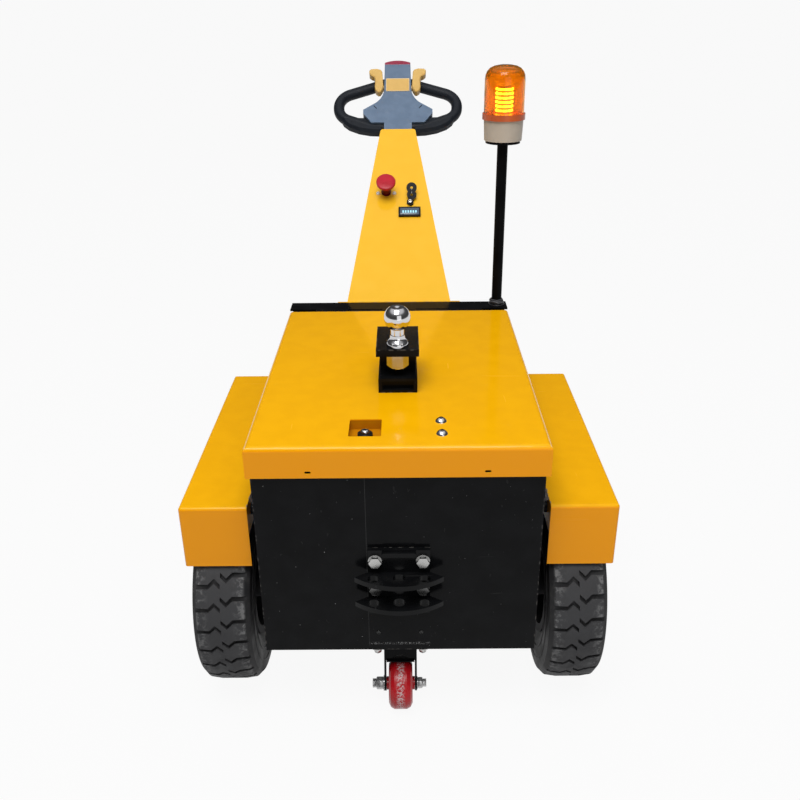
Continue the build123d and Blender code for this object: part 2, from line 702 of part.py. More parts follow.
# Lid hinge leaf, with its knuckles bored for the pin
with BuildPart() as lid_hinge_leaf:
    leaf_low = hinge_y - LEAF_DEPTH
    leaf_high = hinge_y - HINGE_RADIUS - RUN_GAP
    with Locations((0, (leaf_low + leaf_high) / 2, lid_under)):
        Box(HINGE_LENGTH, leaf_high - leaf_low, LEAF_SHEET, align=TOP)
    for x in knuckle_xs[1::2]:
        with BuildSketch(hinge_plane.offset(x - knuckle / 2 + RUN_GAP)):
            Circle(HINGE_RADIUS)
            with Locations((-HINGE_RADIUS, lid_under - hinge_z - LEAF_SHEET / 2)):
                Rectangle(2 * HINGE_RADIUS, LEAF_SHEET)
            Circle(HINGE_PIN_RADIUS + RUN_GAP, mode=Mode.SUBTRACT)
        extrude(amount=knuckle - 2 * RUN_GAP)
save(lid_hinge_leaf, "lid_hinge_leaf")

# Latch pan, a tray hung under the lid by its flange
with BuildPart() as latch_pan:
    with BuildSketch(Plane.XY.offset(lid_under)):
        with Locations(latch_centre):
            Rectangle(LATCH_SIZE[0] + 2 * LATCH_FLANGE, LATCH_SIZE[1] + 2 * LATCH_FLANGE)
    extrude(amount=-LID_SHEET)
    with BuildSketch(Plane.XY.offset(lid_under)):
        with Locations(latch_centre):
            Rectangle(LATCH_SIZE[0] + 2 * LID_SHEET, LATCH_SIZE[1] + 2 * LID_SHEET)
    extrude(amount=-LATCH_DEPTH)
    with BuildSketch(Plane.XY.offset(lid_under)):
        with Locations(latch_centre):
            RectangleRounded(LATCH_SIZE[0], LATCH_SIZE[1], LATCH_CORNER)
    extrude(amount=-LATCH_DEPTH + LID_SHEET, mode=Mode.SUBTRACT)
save(latch_pan, "latch_pan")

# Latch lock on the pan's floor
pan_floor = lid_under - LATCH_DEPTH + LID_SHEET
with BuildPart() as latch_lock:
    with Locations((LATCH_X, REAR_FACE + LOCK_Y, pan_floor)):
        Cylinder(LOCK_RADIUS, LOCK_HEIGHT, align=BOTTOM)
    fillet(latch_lock.faces().sort_by(Axis.Z)[-1].edges(), LOCK_HEIGHT / 6)
    with Locations((LATCH_X, REAR_FACE + LOCK_Y, pan_floor + LOCK_HEIGHT)):
        Cylinder(LOCK_RADIUS * 0.6, LOCK_HEIGHT / 4, align=BOTTOM)
save(latch_lock, "latch_lock")

# Two dome-head screws on the lid
with BuildPart() as lid_screws:
    for along in LID_SCREW_YS:
        dome_radius = (LID_SCREW_RADIUS**2 + LID_SCREW_HEIGHT**2) / (2 * LID_SCREW_HEIGHT)
        dome_plane = Plane(origin=(LID_SCREW_X, REAR_FACE + along, DECK_TOP), x_dir=(1, 0, 0), z_dir=(0, -1, 0))
        with BuildSketch(dome_plane):
            with BuildLine():
                dome = RadiusArc((0, LID_SCREW_HEIGHT), (LID_SCREW_RADIUS, 0), dome_radius)
                Polyline(dome @ 1, (0, 0), dome @ 0)
            make_face()
        revolve(axis=Axis(dome_plane.origin, (0, 0, 1)))
save(lid_screws, "lid_screws")

# Ball bracket: base, post and top plate in a C
bracket_y = REAR_FACE + BRACKET_Y
bracket_top = DECK_TOP + BRACKET_HEIGHT
ball_y = bracket_y + BALL_BACK
with BuildPart() as ball_bracket:
    with Locations((0, bracket_y + BRACKET_LENGTH / 2, DECK_TOP)):
        Box(BRACKET_BASE[0], BRACKET_LENGTH, BRACKET_BASE[1], align=BOTTOM)
    with Locations((0, bracket_y + BRACKET_LENGTH - BRACKET_POST[1] / 2, DECK_TOP)):
        Box(BRACKET_POST[0], BRACKET_POST[1], BRACKET_HEIGHT, align=BOTTOM)
    with Locations((0, bracket_y + BRACKET_LENGTH / 2, bracket_top)):
        Box(BRACKET_TOP[0], BRACKET_LENGTH, BRACKET_TOP[1], align=TOP)
    with Locations((0, bracket_y, DECK_TOP + BRACKET_BASE[1] / 2)):
        Box(POCKET[0], 2 * POCKET[2], POCKET[1], mode=Mode.SUBTRACT)
    with Locations((0, ball_y, bracket_top)):
        Cylinder(SHANK_RADIUS + RUN_GAP, BRACKET_TOP[1], align=TOP, mode=Mode.SUBTRACT)
save(ball_bracket, "ball_bracket")

# Tow ball with its flange, neck and shank
ball_z = bracket_top + BALL_RISE
with BuildPart() as tow_ball:
    with BuildSketch(Plane.XY.offset(bracket_top)):
        with Locations((0, ball_y)):
            RegularPolygon(BALL_FLANGE[0] / 2, 6)
    extrude(amount=BALL_FLANGE[1])
    with Locations((0, ball_y, bracket_top)):
        Cylinder(BALL_NECK_RADIUS, BALL_RISE, align=BOTTOM)
        with Locations((0, 0, BALL_FLANGE[1])):
            Cone(BALL_SHOULDER[0], BALL_NECK_RADIUS, BALL_SHOULDER[1], align=BOTTOM)
        Cylinder(SHANK_RADIUS, BRACKET_TOP[1] + NUT_HEIGHT + MOVE_GAP, align=TOP)
    with Locations((0, ball_y, ball_z)):
        Sphere(BALL_RADIUS)
    split(bisect_by=Plane.XY.offset(ball_z + BALL_FLAT), keep=Keep.BOTTOM)
    with Locations((0, ball_y, ball_z + BALL_FLAT)):
        Cone(BALL_DIMPLE[0] / 4, BALL_DIMPLE[0], BALL_DIMPLE[1], align=TOP, mode=Mode.SUBTRACT)
save(tow_ball, "tow_ball")

# Nut under the bracket's top plate
with BuildPart() as ball_nut:
    with BuildSketch(Plane.XY.offset(bracket_top - BRACKET_TOP[1])):
        with Locations((0, ball_y)):
            RegularPolygon(NUT_ACROSS / 2, 6, major_radius=False)
            Circle(SHANK_RADIUS + RUN_GAP, mode=Mode.SUBTRACT)
    extrude(amount=-NUT_HEIGHT)
save(ball_nut, "ball_nut")

# Arm foot, a plate on the front plate
with BuildPart() as arm_foot:
    with BuildSketch(Plane.XZ.offset(-FRONT_FACE)):
        with Locations((0, DECK_TOP - FOOT_PLATE[1] / 2)):
            Rectangle(FOOT_PLATE[0], FOOT_PLATE[1])
    extrude(amount=-FOOT_PLATE[2])
save(arm_foot, "arm_foot")

# Tiller arm, a tapered box that leans away over the foot plate
taper = (ARM_FOOT_WIDTH - ARM_TOP_WIDTH) / 2 / ARM_LENGTH
with BuildPart() as tiller_arm:
    with BuildSketch(ARM_FACE):
        with BuildLine():
            low_half = ARM_FOOT_WIDTH / 2 + taper * ARM_DEPTH
            Polyline(
                (-low_half, -ARM_DEPTH),
                (low_half, -ARM_DEPTH),
                (ARM_TOP_WIDTH / 2, ARM_LENGTH),
                (-ARM_TOP_WIDTH / 2, ARM_LENGTH),
                close=True,
            )
        make_face()
    extrude(amount=-ARM_DEPTH)
    split(bisect_by=Plane(origin=ARM_FACE.origin, z_dir=(0, 1, 0)), keep=Keep.TOP)
    arm_end = tiller_arm.faces().sort_by(Axis((0, 0, 0), ARM_FACE.y_dir))[-1]
    fillet(arm_end.edges().filter_by(Axis((0, 0, 0), ARM_FACE.z_dir)), ARM_CORNER)
    foot_end = tiller_arm.faces().sort_by(Axis.Y)[0]
    offset(amount=-ARM_SHEET, openings=foot_end)
save(tiller_arm, "tiller_arm")

# Emergency stop: base plate and a mushroom knob on a flared neck
stop_face = on_arm(STOP_X, STOP_T)
with BuildPart(stop_face) as emergency_stop:
    Cylinder(STOP_BASE[0], STOP_BASE[1], align=BOTTOM)
    knob_foot = stop_face.offset(STOP_BASE[1])
    with BuildSketch(Plane(origin=knob_foot.origin, x_dir=(1, 0, 0), z_dir=-stop_face.y_dir)):
        with BuildLine():
            Polyline((0, 0), *STOP_OUTLINE, (0, STOP_OUTLINE[-1][1]), close=True)
        make_face()
    revolve(axis=Axis(stop_face.origin, stop_face.z_dir))
save(emergency_stop, "emergency_stop")

# Key switch with the key in it and a second one behind, both leaning up the arm
key_face = on_arm(KEY_X, KEY_T)
with BuildPart(key_face) as key_switch:
    Cylinder(KEY_BARREL[0], KEY_BARREL[1], align=BOTTOM)
    with BuildSketch(key_face.offset(KEY_BARREL[1] / 2).rotated((KEY_TILT, 0, 0))):
        with Locations((0, KEY_SHANK[1] / 2)):
            Rectangle(*KEY_SHANK)
        for across, along, radius in KEY_BOWS:
            with Locations((across, along)):
                Circle(radius)
        for across, along, radius in KEY_BOWS:
            with Locations((across, along)):
                Circle(KEY_BOW_HOLE, mode=Mode.SUBTRACT)
    extrude(amount=KEY_PLATE / 2, both=True)
save(key_switch, "key_switch")

# Battery gauge
with BuildPart(on_arm(GAUGE_X, GAUGE_T)) as battery_gauge:
    Box(*GAUGE, align=BOTTOM)
save(battery_gauge, "battery_gauge")

# Handle loop: one tube from the head's right side, round through the stem, to its left side, on deeper feet
loop_right = [(x, t) for x, t, radius in LOOP_CORNERS]
loop_left = [(-x, t) for x, t, radius in reversed(LOOP_CORNERS)]
corner_radii = [radius for x, t, radius in LOOP_CORNERS[1:]]
with BuildPart() as handle_loop:
    for side, sign in SIDES:
        with BuildSketch(LOOP_FACE):
            with BuildLine():
                Polyline(*[(sign * x, t) for x, t in LOOP_FOOT], close=True)
            make_face()
        extrude(amount=LOOP_FOOT_DEPTH / 2, both=True)
    foot_rims = handle_loop.faces().filter_by(Axis((0, 0, 0), LOOP_FACE.z_dir)).edges()
    chamfer(foot_rims, LOOP_FOOT_BEND)
    with BuildLine(LOOP_FACE) as loop_path:
        FilletPolyline(*loop_right, *loop_left, radius=corner_radii + corner_radii[::-1])
    with BuildSketch(Plane(origin=loop_path.line @ 0, z_dir=loop_path.line % 0)):
        Circle(LOOP_RADIUS)
    sweep(path=loop_path.line)
save(handle_loop, "handle_loop")

# Tiller head: stem, wings over the loop and a long nose
with BuildPart() as tiller_head:
    with BuildSketch(HEAD_FACE):
        with BuildLine():
            half_wing = WING_WIDTH / 2
            Polyline(
                (0, 0),
                (HEAD_STEM / 2, 0),
                (HEAD_STEM / 2, WING_LOW_UP),
                (WING_LOW_WIDTH / 2, WING_LOW_UP),
                *[(half_wing, up) for up in WING_TIP_UPS],
                HEAD_FLANK[0],
            )
            ThreePointArc(*HEAD_FLANK)
            Polyline(HEAD_FLANK[-1], (HEAD_TOP_WIDTH / 2, HEAD_LENGTH), (0, HEAD_LENGTH))
            mirror(about=Plane.YZ)
        make_face()
    extrude(amount=-HEAD_DEPTH)
    with BuildSketch(Plane(origin=loop_path.line @ 0, z_dir=loop_path.line % 0)):
        Circle(LOOP_RADIUS + RUN_GAP)
    sweep(path=loop_path.line, mode=Mode.SUBTRACT)
    for side, sign in SIDES:
        with BuildSketch(LOOP_FACE):
            with BuildLine():
                Polyline(*[(sign * x, t) for x, t in LOOP_FOOT], close=True)
            make_face()
            offset(amount=RUN_GAP)
        extrude(amount=LOOP_FOOT_DEPTH / 2 + RUN_GAP, both=True, mode=Mode.SUBTRACT)
save(tiller_head, "tiller_head")

# Blank label on the head
with BuildPart() as head_label:
    with BuildSketch(HEAD_FACE):
        with Locations((0, LABEL_UP)):
            RectangleRounded(LABEL[0], LABEL[1], LABEL_CORNER)
    extrude(amount=LABEL[2])
save(head_label, "head_label")

# Belly button at the head's end
half_head = HEAD_TOP_WIDTH / 2
with BuildPart() as belly_button:
    with BuildSketch(HEAD_FACE):
        with BuildLine():
            crest = ThreePointArc(
                (half_head, HEAD_LENGTH + BUTTON_SIDE), (0, button_end), (-half_head, HEAD_LENGTH + BUTTON_SIDE)
            )
            Polyline(crest @ 1, (-half_head, HEAD_LENGTH), (half_head, HEAD_LENGTH), crest @ 0)
        make_face()
    extrude(amount=-HEAD_DEPTH)
save(belly_button, "belly_button")

# Throttle levers, one paddle on each side of the head
with BuildPart() as throttle_levers:
    for side, sign in SIDES:
        with BuildSketch(LEVER_FACE):
            with BuildLine():
                Polyline(*[(sign * x, t) for x, t in LEVER_OUTLINE], close=True)
            lever_face = make_face()
            fillet(lever_face.vertices(), LEVER_CORNER)
        extrude(amount=-LEVER_DEPTH)
    chamfer(throttle_levers.faces().filter_by(Axis((0, 0, 0), LEVER_FACE.z_dir)).edges(), LEVER_EDGE)
    for side, sign in SIDES:
        boss_centre = ARM_END.from_local_coords((sign * HEAD_FLANK[-1][0], LEVER_BOSS_UP, -LEVER_BOSS_SUNK))
        with BuildSketch(Plane(origin=boss_centre, z_dir=(sign, 0, 0))):
            Circle(LEVER_BOSS[0])
        extrude(amount=LEVER_BOSS[1])
save(throttle_levers, "throttle_levers")

# Beacon pole with its foot and the flange on top
pole_y = FRONT_FACE - POLE_FROM_FRONT
pole_top = DECK_TOP + POLE_HEIGHT
flange_top = pole_top + BEACON_FLANGE[1]
base_top = flange_top + BEACON_BASE[2]
collar_top = base_top + BEACON_COLLAR[1]
with BuildPart() as beacon_pole:
    with Locations((POLE_X, pole_y, DECK_TOP)):
        Cylinder(POLE_FOOT[0], POLE_FOOT[1], align=BOTTOM)
        Cylinder(POLE_RADIUS, POLE_HEIGHT, align=BOTTOM)
    with Locations((POLE_X, pole_y, pole_top)):
        Cylinder(BEACON_FLANGE[0], BEACON_FLANGE[1], align=BOTTOM)
save(beacon_pole, "beacon_pole")

# Beacon base and collar
with BuildPart() as beacon_base:
    with Locations((POLE_X, pole_y, flange_top)):
        Cone(BEACON_BASE[0], BEACON_BASE[1], BEACON_BASE[2], align=BOTTOM)
save(beacon_base, "beacon_base")

with BuildPart() as beacon_collar:
    with BuildSketch(Plane.XY.offset(base_top)):
        with Locations((POLE_X, pole_y)):
            Circle(BEACON_COLLAR[0])
            Circle(LED_POST_RADIUS + RUN_GAP, mode=Mode.SUBTRACT)
    extrude(amount=BEACON_COLLAR[1])
save(beacon_collar, "beacon_collar")

# Beacon lens, a thin domed cup on the collar
lens_foot = Plane(origin=(POLE_X, pole_y, collar_top), x_dir=(1, 0, 0), z_dir=(0, -1, 0))
with BuildPart() as beacon_lens:
    for radius, height, mode in (
        (LENS_RADIUS, LENS_HEIGHT, Mode.ADD),
        (LENS_RADIUS - LENS_WALL, LENS_HEIGHT - LENS_WALL, Mode.SUBTRACT),
    ):
        with BuildSketch(lens_foot):
            with BuildLine():
                dome = [(share * radius, height - drop) for share, drop in LENS_DOME]
                Polyline((0, 0), (0, height), *dome, (radius, 0), close=True)
            make_face()
        revolve(axis=Axis(lens_foot.origin, (0, 0, 1)), mode=mode)
save(beacon_lens, "beacon_lens")

# Lamp post inside the lens, with rows of bars
with BuildPart() as beacon_led:
    with Locations((POLE_X, pole_y, base_top)):
        Cylinder(LED_POST_RADIUS, BEACON_COLLAR[1] + LED_POST_HEIGHT, align=BOTTOM)
    for row in range(LED_ROWS):
        with Locations((POLE_X, pole_y, collar_top + LED_FIRST + row * LED_PITCH)):
            with PolarLocations(LED_POST_RADIUS, LED_COLUMNS):
                Box(*LED_BAR)
save(beacon_led, "beacon_led")
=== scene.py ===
# %% [markdown]
# # A walk-behind electric tow tractor
# The machine pulls trolleys about a works yard: a black steel tub on two big ribbed tyres, a yellow
# lid over the batteries, a leaning arm with a steering head, a tow ball and a hitch. The solids
# already have their true size and place. This lesson gives them their paint, rubber and chrome, and
# adds the small parts that a plate maker's drawing leaves out. The first cell loads the solids, and
# reads a solid's outer box when asked.

# %% Load the solids
from math import cos, pi, radians, sin

import bpy
from mathutils import Matrix, Vector


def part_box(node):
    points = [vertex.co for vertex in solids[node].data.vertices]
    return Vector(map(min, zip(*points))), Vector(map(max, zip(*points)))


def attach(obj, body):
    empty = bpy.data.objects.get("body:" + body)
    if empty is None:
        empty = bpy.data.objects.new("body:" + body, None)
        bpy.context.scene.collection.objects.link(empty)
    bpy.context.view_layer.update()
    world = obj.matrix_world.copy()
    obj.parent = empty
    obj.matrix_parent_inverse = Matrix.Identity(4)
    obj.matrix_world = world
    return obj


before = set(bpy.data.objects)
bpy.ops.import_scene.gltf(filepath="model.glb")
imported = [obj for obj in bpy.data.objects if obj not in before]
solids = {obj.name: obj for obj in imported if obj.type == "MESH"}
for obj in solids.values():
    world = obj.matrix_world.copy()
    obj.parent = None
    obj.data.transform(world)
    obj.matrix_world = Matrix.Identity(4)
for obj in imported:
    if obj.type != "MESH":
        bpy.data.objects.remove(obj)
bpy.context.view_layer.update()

print("solids loaded:", len(solids))

# %% [markdown]
# ## Camera, floor and light
# The picture was taken from about chest height, straight behind the hitch, so the camera
# stands nearly on the middle plane and looks down by 25 degrees. A camera could be aimed by a
# tracking constraint, but the picture is rolled by half a degree, so its turn is written out as the
# three directions of the picture: right, up and back.

# %% Camera
PICTURE_PIXELS = 800
FOCAL_PIXELS = 857.98
PITCH = radians(25.487)
YAW = radians(0.379)
ROLL = radians(0.641)
CAMERA_PLACE = (0.0135, -1.9402, 1.3085)

level_forward = Vector((0, cos(PITCH), -sin(PITCH)))
level_right = Vector((1, 0, 0))
level_down = level_forward.cross(level_right)
swing = Matrix.Rotation(YAW, 3, "Z")
forward = swing @ level_forward
right = swing @ (level_right * cos(ROLL) + level_down * sin(ROLL))
down = swing @ (level_down * cos(ROLL) - level_right * sin(ROLL))
camera_turn = Matrix((right, -down, -forward)).transposed().to_4x4()

bpy.ops.object.select_all(action="DESELECT")
bpy.ops.object.camera_add()
camera = bpy.context.object
camera.name = "picture_camera"
camera.data.sensor_width = 36
camera.data.lens = FOCAL_PIXELS / PICTURE_PIXELS * camera.data.sensor_width
camera.matrix_world = Matrix.Translation(CAMERA_PLACE) @ camera_turn
bpy.context.scene.camera = camera
bpy.context.scene.view_settings.view_transform = "Standard"
print("camera lens:", round(camera.data.lens, 2), "mm")

# %% [markdown]
# The light is a plain studio: a broad white ceiling over darker walls, which chrome needs to look like
# chrome, one broad lamp high above the camera, and a weaker one low in front, so that the lid is the
# brightest face and the skirts stay a deeper orange.
# The floor shows as white to the camera and in reflections, yet is lit as an ordinary pale floor, so
# the shadow under the tub stays.

# %% Sky and lamps
def broad_lamp(name, place, aim, size, power):
    """A square lamp that points from its place to the aim."""
    bpy.ops.object.light_add(type="AREA", location=place)
    lamp = bpy.context.object
    lamp.name = name
    lamp.data.size = size
    lamp.data.energy = power
    lamp.rotation_euler = (Vector(aim) - Vector(place)).to_track_quat("-Z", "Y").to_euler()
    return lamp


SKY_BANDS = ((0.0, 0.5), (1.0, 1.9), (0.5, 0.35), (0.6, 0.13), (0.78, 0.25), (0.88, 1.7))
SKY_STRENGTH = 0.42
sky = bpy.data.worlds.new("studio_sky")
sky.use_nodes = True
tree = sky.node_tree
look = tree.nodes.new("ShaderNodeTexCoord")
height = tree.nodes.new("ShaderNodeSeparateXYZ")
bands = tree.nodes.new("ShaderNodeValToRGB")
stops = bands.color_ramp.elements
for number, (share, grey) in enumerate(SKY_BANDS):
    stop = stops[number] if number < 2 else stops.new(share)
    stop.position = share
    stop.color = (grey, grey, grey * 1.02, 1)
rise = tree.nodes.new("ShaderNodeMapRange")
rise.inputs["From Min"].default_value = -1
tree.links.new(look.outputs["Generated"], height.inputs["Vector"])
tree.links.new(height.outputs["Z"], rise.inputs["Value"])
tree.links.new(rise.outputs["Result"], bands.inputs["Fac"])
tree.links.new(bands.outputs["Color"], tree.nodes["Background"].inputs["Color"])
tree.nodes["Background"].inputs["Strength"].default_value = SKY_STRENGTH
bpy.context.scene.world = sky
key_lamp = broad_lamp("key_lamp", (-0.3, -1.96, 4.18), (0, -0.2, 0.4), 2.2, 136)
fill_lamp = broad_lamp("fill_lamp", (0.9, -3.2, 1.5), (0, -0.2, 0.5), 2.0, 13)
print("lamps:", key_lamp.name, fill_lamp.name)

# %% [markdown]
# ## How the finishes are made
# A painted or moulded surface never has one even colour. Four effects repeat over the whole
# machine: a fine grain, dust that lies on faces that look up, hair scratches, and paint rubbed off
# along the edges of folded sheet. Each is a node group with its own inputs, built once here, and
# placed in a material with that material's values. They read Object coordinates, which are metres on
# the machine, so a grain has the same size on every piece.

# %% A short way to add shader nodes
def put(tree, kind, sockets=(), **settings):
    """Add a node, set its settings, then fill its inputs with values or with other outputs."""
    added = tree.nodes.new(kind)
    for setting, value in settings.items():
        setattr(added, setting, value)
    for socket, value in dict(sockets).items():
        if isinstance(value, bpy.types.NodeSocket):
            tree.links.new(value, added.inputs[socket])
        else:
            added.inputs[socket].default_value = value
    return added


def new_group(name, inputs, outputs):
    """An empty node group with named sockets, given as (name, kind, first value)."""
    group = bpy.data.node_groups.new(name, "ShaderNodeTree")
    for label, kind, value in inputs:
        socket = group.interface.new_socket(label, in_out="INPUT", socket_type=kind)
        if value is not None:
            socket.default_value = value
    for label, kind in outputs:
        group.interface.new_socket(label, in_out="OUTPUT", socket_type=kind)
    return group, group.nodes.new("NodeGroupInput").outputs, group.nodes.new("NodeGroupOutput").inputs


NUMBER = "NodeSocketFloat"
VECTOR = "NodeSocketVector"


def ramp(tree, value, low, high, to_low=0.0, to_high=1.0):
    """Spread a value between two limits, smoothly and without overshoot."""
    return put(tree, "ShaderNodeMapRange", {
        "Value": value, "From Min": low, "From Max": high, "To Min": to_low, "To Max": to_high,
    }, interpolation_type="SMOOTHSTEP").outputs["Result"]


def sums(tree, operation, first, second=0.0):
    """One arithmetic node."""
    return put(tree, "ShaderNodeMath", {0: first, 1: second}, operation=operation).outputs["Value"]


def vectors(tree, operation, first, second=(0, 0, 0), output="Vector"):
    """One vector arithmetic node."""
    return put(tree, "ShaderNodeVectorMath", {0: first, 1: second}, operation=operation).outputs[output]


def noise(tree, spot, scale, detail, **more):
    """The value of a noise at a spot."""
    return put(tree, "ShaderNodeTexNoise", {
        "Vector": spot, "Scale": scale, "Detail": detail, **more,
    }).outputs["Fac"]


def object_spot(tree):
    """The point itself, in metres on the machine."""
    return put(tree, "ShaderNodeTexCoord").outputs["Object"]


def parts(tree, vector):
    """The X, Y and Z of a vector."""
    return put(tree, "ShaderNodeSeparateXYZ", {"Vector": vector}).outputs


print("node helpers ready")

# %% Grain
grain, ask, give = new_group("fine_grain", [("Scale", NUMBER, 400.0), ("Roughness", NUMBER, 0.6)],
                             [("Fine", NUMBER), ("Broad", NUMBER)])
spot = object_spot(grain)
grain.links.new(noise(grain, spot, ask["Scale"], 4.0, Roughness=ask["Roughness"]), give["Fine"])
grain.links.new(noise(grain, spot, sums(grain, "MULTIPLY", ask["Scale"], 0.03), 3.0), give["Broad"])
print("group:", grain.name)

# %% Dust on faces that look up
dust, ask, give = new_group("settled_dust", [("Scale", NUMBER, 30.0), ("Low", NUMBER, 0.45),
                                             ("High", NUMBER, 0.8), ("Upward", NUMBER, 1.0)],
                            [("Mask", NUMBER)])
cloud = noise(dust, object_spot(dust), ask["Scale"], 8.0, Roughness=0.7)
facing = parts(dust, put(dust, "ShaderNodeTexCoord").outputs["Normal"])["Z"]
facing = ramp(dust, facing, -0.1, 0.9)
share = put(dust, "ShaderNodeMix", {"Factor": ask["Upward"], "A": 1.0, "B": facing}).outputs["Result"]
dust.links.new(sums(dust, "MULTIPLY", ramp(dust, cloud, ask["Low"], ask["High"]), share), give["Mask"])
print("group:", dust.name)

# %% Hair scratches
scratch, ask, give = new_group("hair_scratches", [("Scale", NUMBER, 6.0), ("Low", NUMBER, 0.66)],
                               [("Mask", NUMBER)])
spot = object_spot(scratch)
marks = []
for turn, stretch in ((0.5, (1, 26, 9)), (1.9, (22, 1, 14))):
    drawn = put(scratch, "ShaderNodeMapping", {
        "Vector": spot, "Rotation": (0.3, 0.2, turn), "Scale": stretch,
    }).outputs["Vector"]
    lines = noise(scratch, drawn, ask["Scale"], 2.0)
    marks.append(ramp(scratch, lines, ask["Low"], sums(scratch, "ADD", ask["Low"], 0.03)))
scratch.links.new(sums(scratch, "MAXIMUM", marks[0], marks[1]), give["Mask"])
print("group:", scratch.name)

# %% Rubbed edges of a box-like piece
edges, ask, give = new_group("rubbed_edges", [("Centre", VECTOR, (0, 0, 0)), ("Half", VECTOR, (1, 1, 1)),
                                              ("Width", NUMBER, 0.004)], [("Mask", NUMBER)])
spot = object_spot(edges)
away = vectors(edges, "ABSOLUTE", vectors(edges, "SUBTRACT", spot, ask["Centre"]))
near = parts(edges, vectors(edges, "SUBTRACT", ask["Half"], away))
closeness = [ramp(edges, near[axis], ask["Width"], 0.0) for axis in "XYZ"]
pairs = [sums(edges, "MULTIPLY", closeness[a], closeness[b]) for a, b in ((0, 1), (1, 2), (0, 2))]
any_pair = sums(edges, "MAXIMUM", sums(edges, "MAXIMUM", pairs[0], pairs[1]), pairs[2])
patches = noise(edges, spot, 90.0, 5.0)
edges.links.new(sums(edges, "MULTIPLY", any_pair, ramp(edges, patches, 0.5, 0.62)), give["Mask"])
print("group:", edges.name)

# %% [markdown]
# ## One recipe for painted and moulded surfaces
# Every finish below follows the same order as on the real thing: the colour itself with a little
# grain, then scratches, then rubbed edges, then dust on top. The recipe takes the values of each
# finish and leaves out what a finish doesn't have. Even values, such as a coat, go straight on the shader.

# %% The recipe
def tone(tree, share, first, second):
    """Mix two colours by a share."""
    return put(tree, "ShaderNodeMix", {"Factor": share, 6: first, 7: second}, data_type="RGBA").outputs[2]


def place_group(tree, group, **values):
    """Place a node group and fill its inputs."""
    return put(tree, "ShaderNodeGroup", {k.replace("_", " ").title(): v for k, v in values.items()},
               node_tree=group).outputs


def finish(name, colour, deeper, rough, grain_scale=500.0, bump=0.0, dusty=None, scratched=None,
           rubbed=None, **even):
    """A finish from its colour and a deeper tone of it; rough is a pair of limits.

    Dusty gives scale, low, high, upward, share and colour; scratched gives scale, low, share and colour;
    rubbed gives a box, a width and a colour.
    """
    made = bpy.data.materials.new(name)
    made.use_nodes = True
    tree = made.node_tree
    shader = tree.nodes["Principled BSDF"]
    grains = place_group(tree, grain, scale=grain_scale)
    colours = tone(tree, ramp(tree, grains["Broad"], 0.3, 0.7), (*deeper, 1), (*colour, 1))
    roughness = ramp(tree, grains["Broad"], 0.25, 0.75, rough[0], rough[1])
    if scratched:
        mask = place_group(tree, scratch, scale=scratched[0], low=scratched[1])["Mask"]
        colours = tone(tree, sums(tree, "MULTIPLY", mask, scratched[2]), colours, (*scratched[3], 1))
        roughness = sums(tree, "ADD", roughness, sums(tree, "MULTIPLY", mask, 0.2))
    if rubbed:
        low, high = rubbed[0]
        mask = place_group(tree, edges, centre=(low + high) / 2, half=(high - low) / 2,
                           width=rubbed[1])["Mask"]
        colours = tone(tree, mask, colours, (*rubbed[2], 1))
    if dusty:
        mask = place_group(tree, dust, scale=dusty[0], low=dusty[1], high=dusty[2], upward=dusty[3])["Mask"]
        colours = tone(tree, sums(tree, "MULTIPLY", mask, dusty[4]), colours, (*dusty[5], 1))
        roughness = sums(tree, "ADD", roughness, sums(tree, "MULTIPLY", mask, 0.25))
    tree.links.new(colours, shader.inputs["Base Color"])
    tree.links.new(roughness, shader.inputs["Roughness"])
    if bump:
        raised = put(tree, "ShaderNodeBump", {"Height": grains["Fine"], "Strength": bump, "Distance": 0.0006})
        tree.links.new(raised.outputs["Normal"], shader.inputs["Normal"])
    for socket, value in even.items():
        shader.inputs[socket.replace("_", " ")].default_value = value
    return made


def dress(material, *names):
    """Give solids their finish."""
    for name in names:
        slots = solids[name].data.materials
        slots.clear()
        slots.append(material)


YELLOW = (0.795, 0.39, 0.001)
DEEP_YELLOW = (0.765, 0.37, 0.001)
PRIMER = (0.2, 0.17, 0.13)
DUST = (0.55, 0.5, 0.42)
print("recipe ready")

# %% [markdown]
# ## Yellow paint
# The lid, fenders and arm are sprayed yellow over primer and keep a wet gloss. The spray leaves a
# faint orange-peel ripple, which is the bump, and folded corners are rubbed through to primer. The
# arm was sprayed last and has the thickest coat. The pan of the latch gets a darker yellow, which is
# painted shade in its recess.

# %% Yellow paint on the lid, the fenders and the arm
def yellow_paint(name, node, colour=YELLOW, deeper=DEEP_YELLOW, gloss=0.12):
    """Yellow paint with its rubbed edges where that sheet has them."""
    return finish(name, colour, deeper, (0.1, 0.2), grain_scale=900, bump=0.05,
                  dusty=(22, 0.6, 1.0, 1.0, 0.06, DUST), scratched=(5, 0.74, 0.12, (0.95, 0.5, 0.05)),
                  rubbed=(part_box(node), 0.0025, PRIMER), Specular_IOR_Level=0.12, Coat_Weight=gloss,
                  Coat_Roughness=0.03)


YELLOW_SHEETS = ("lid", "fender_left", "fender_right", "arm_foot")
for sheet in YELLOW_SHEETS:
    dress(yellow_paint(f"{sheet}_yellow", sheet), sheet)
arm_yellow = yellow_paint("tiller_arm_yellow", "tiller_arm", (0.86, 0.475, 0.018), (0.84, 0.46, 0.015), 0.6)
dress(arm_yellow, "tiller_arm")
# Painted shade: the latch pan gets a darker yellow for the shade that lies in its recess.
pan_shade_yellow = yellow_paint("latch_pan_painted_shade", "latch_pan", (0.5, 0.19, 0.002), (0.42, 0.15, 0.002))
dress(pan_shade_yellow, "latch_pan")
print("yellow sheets:", len(YELLOW_SHEETS) + 2)

# %% [markdown]
# ## Black paint
# The tub, deck, hitch and bracket are gloss black. Black hides its own grain, so what shows is the
# dust on its top faces and fine grey scratches.

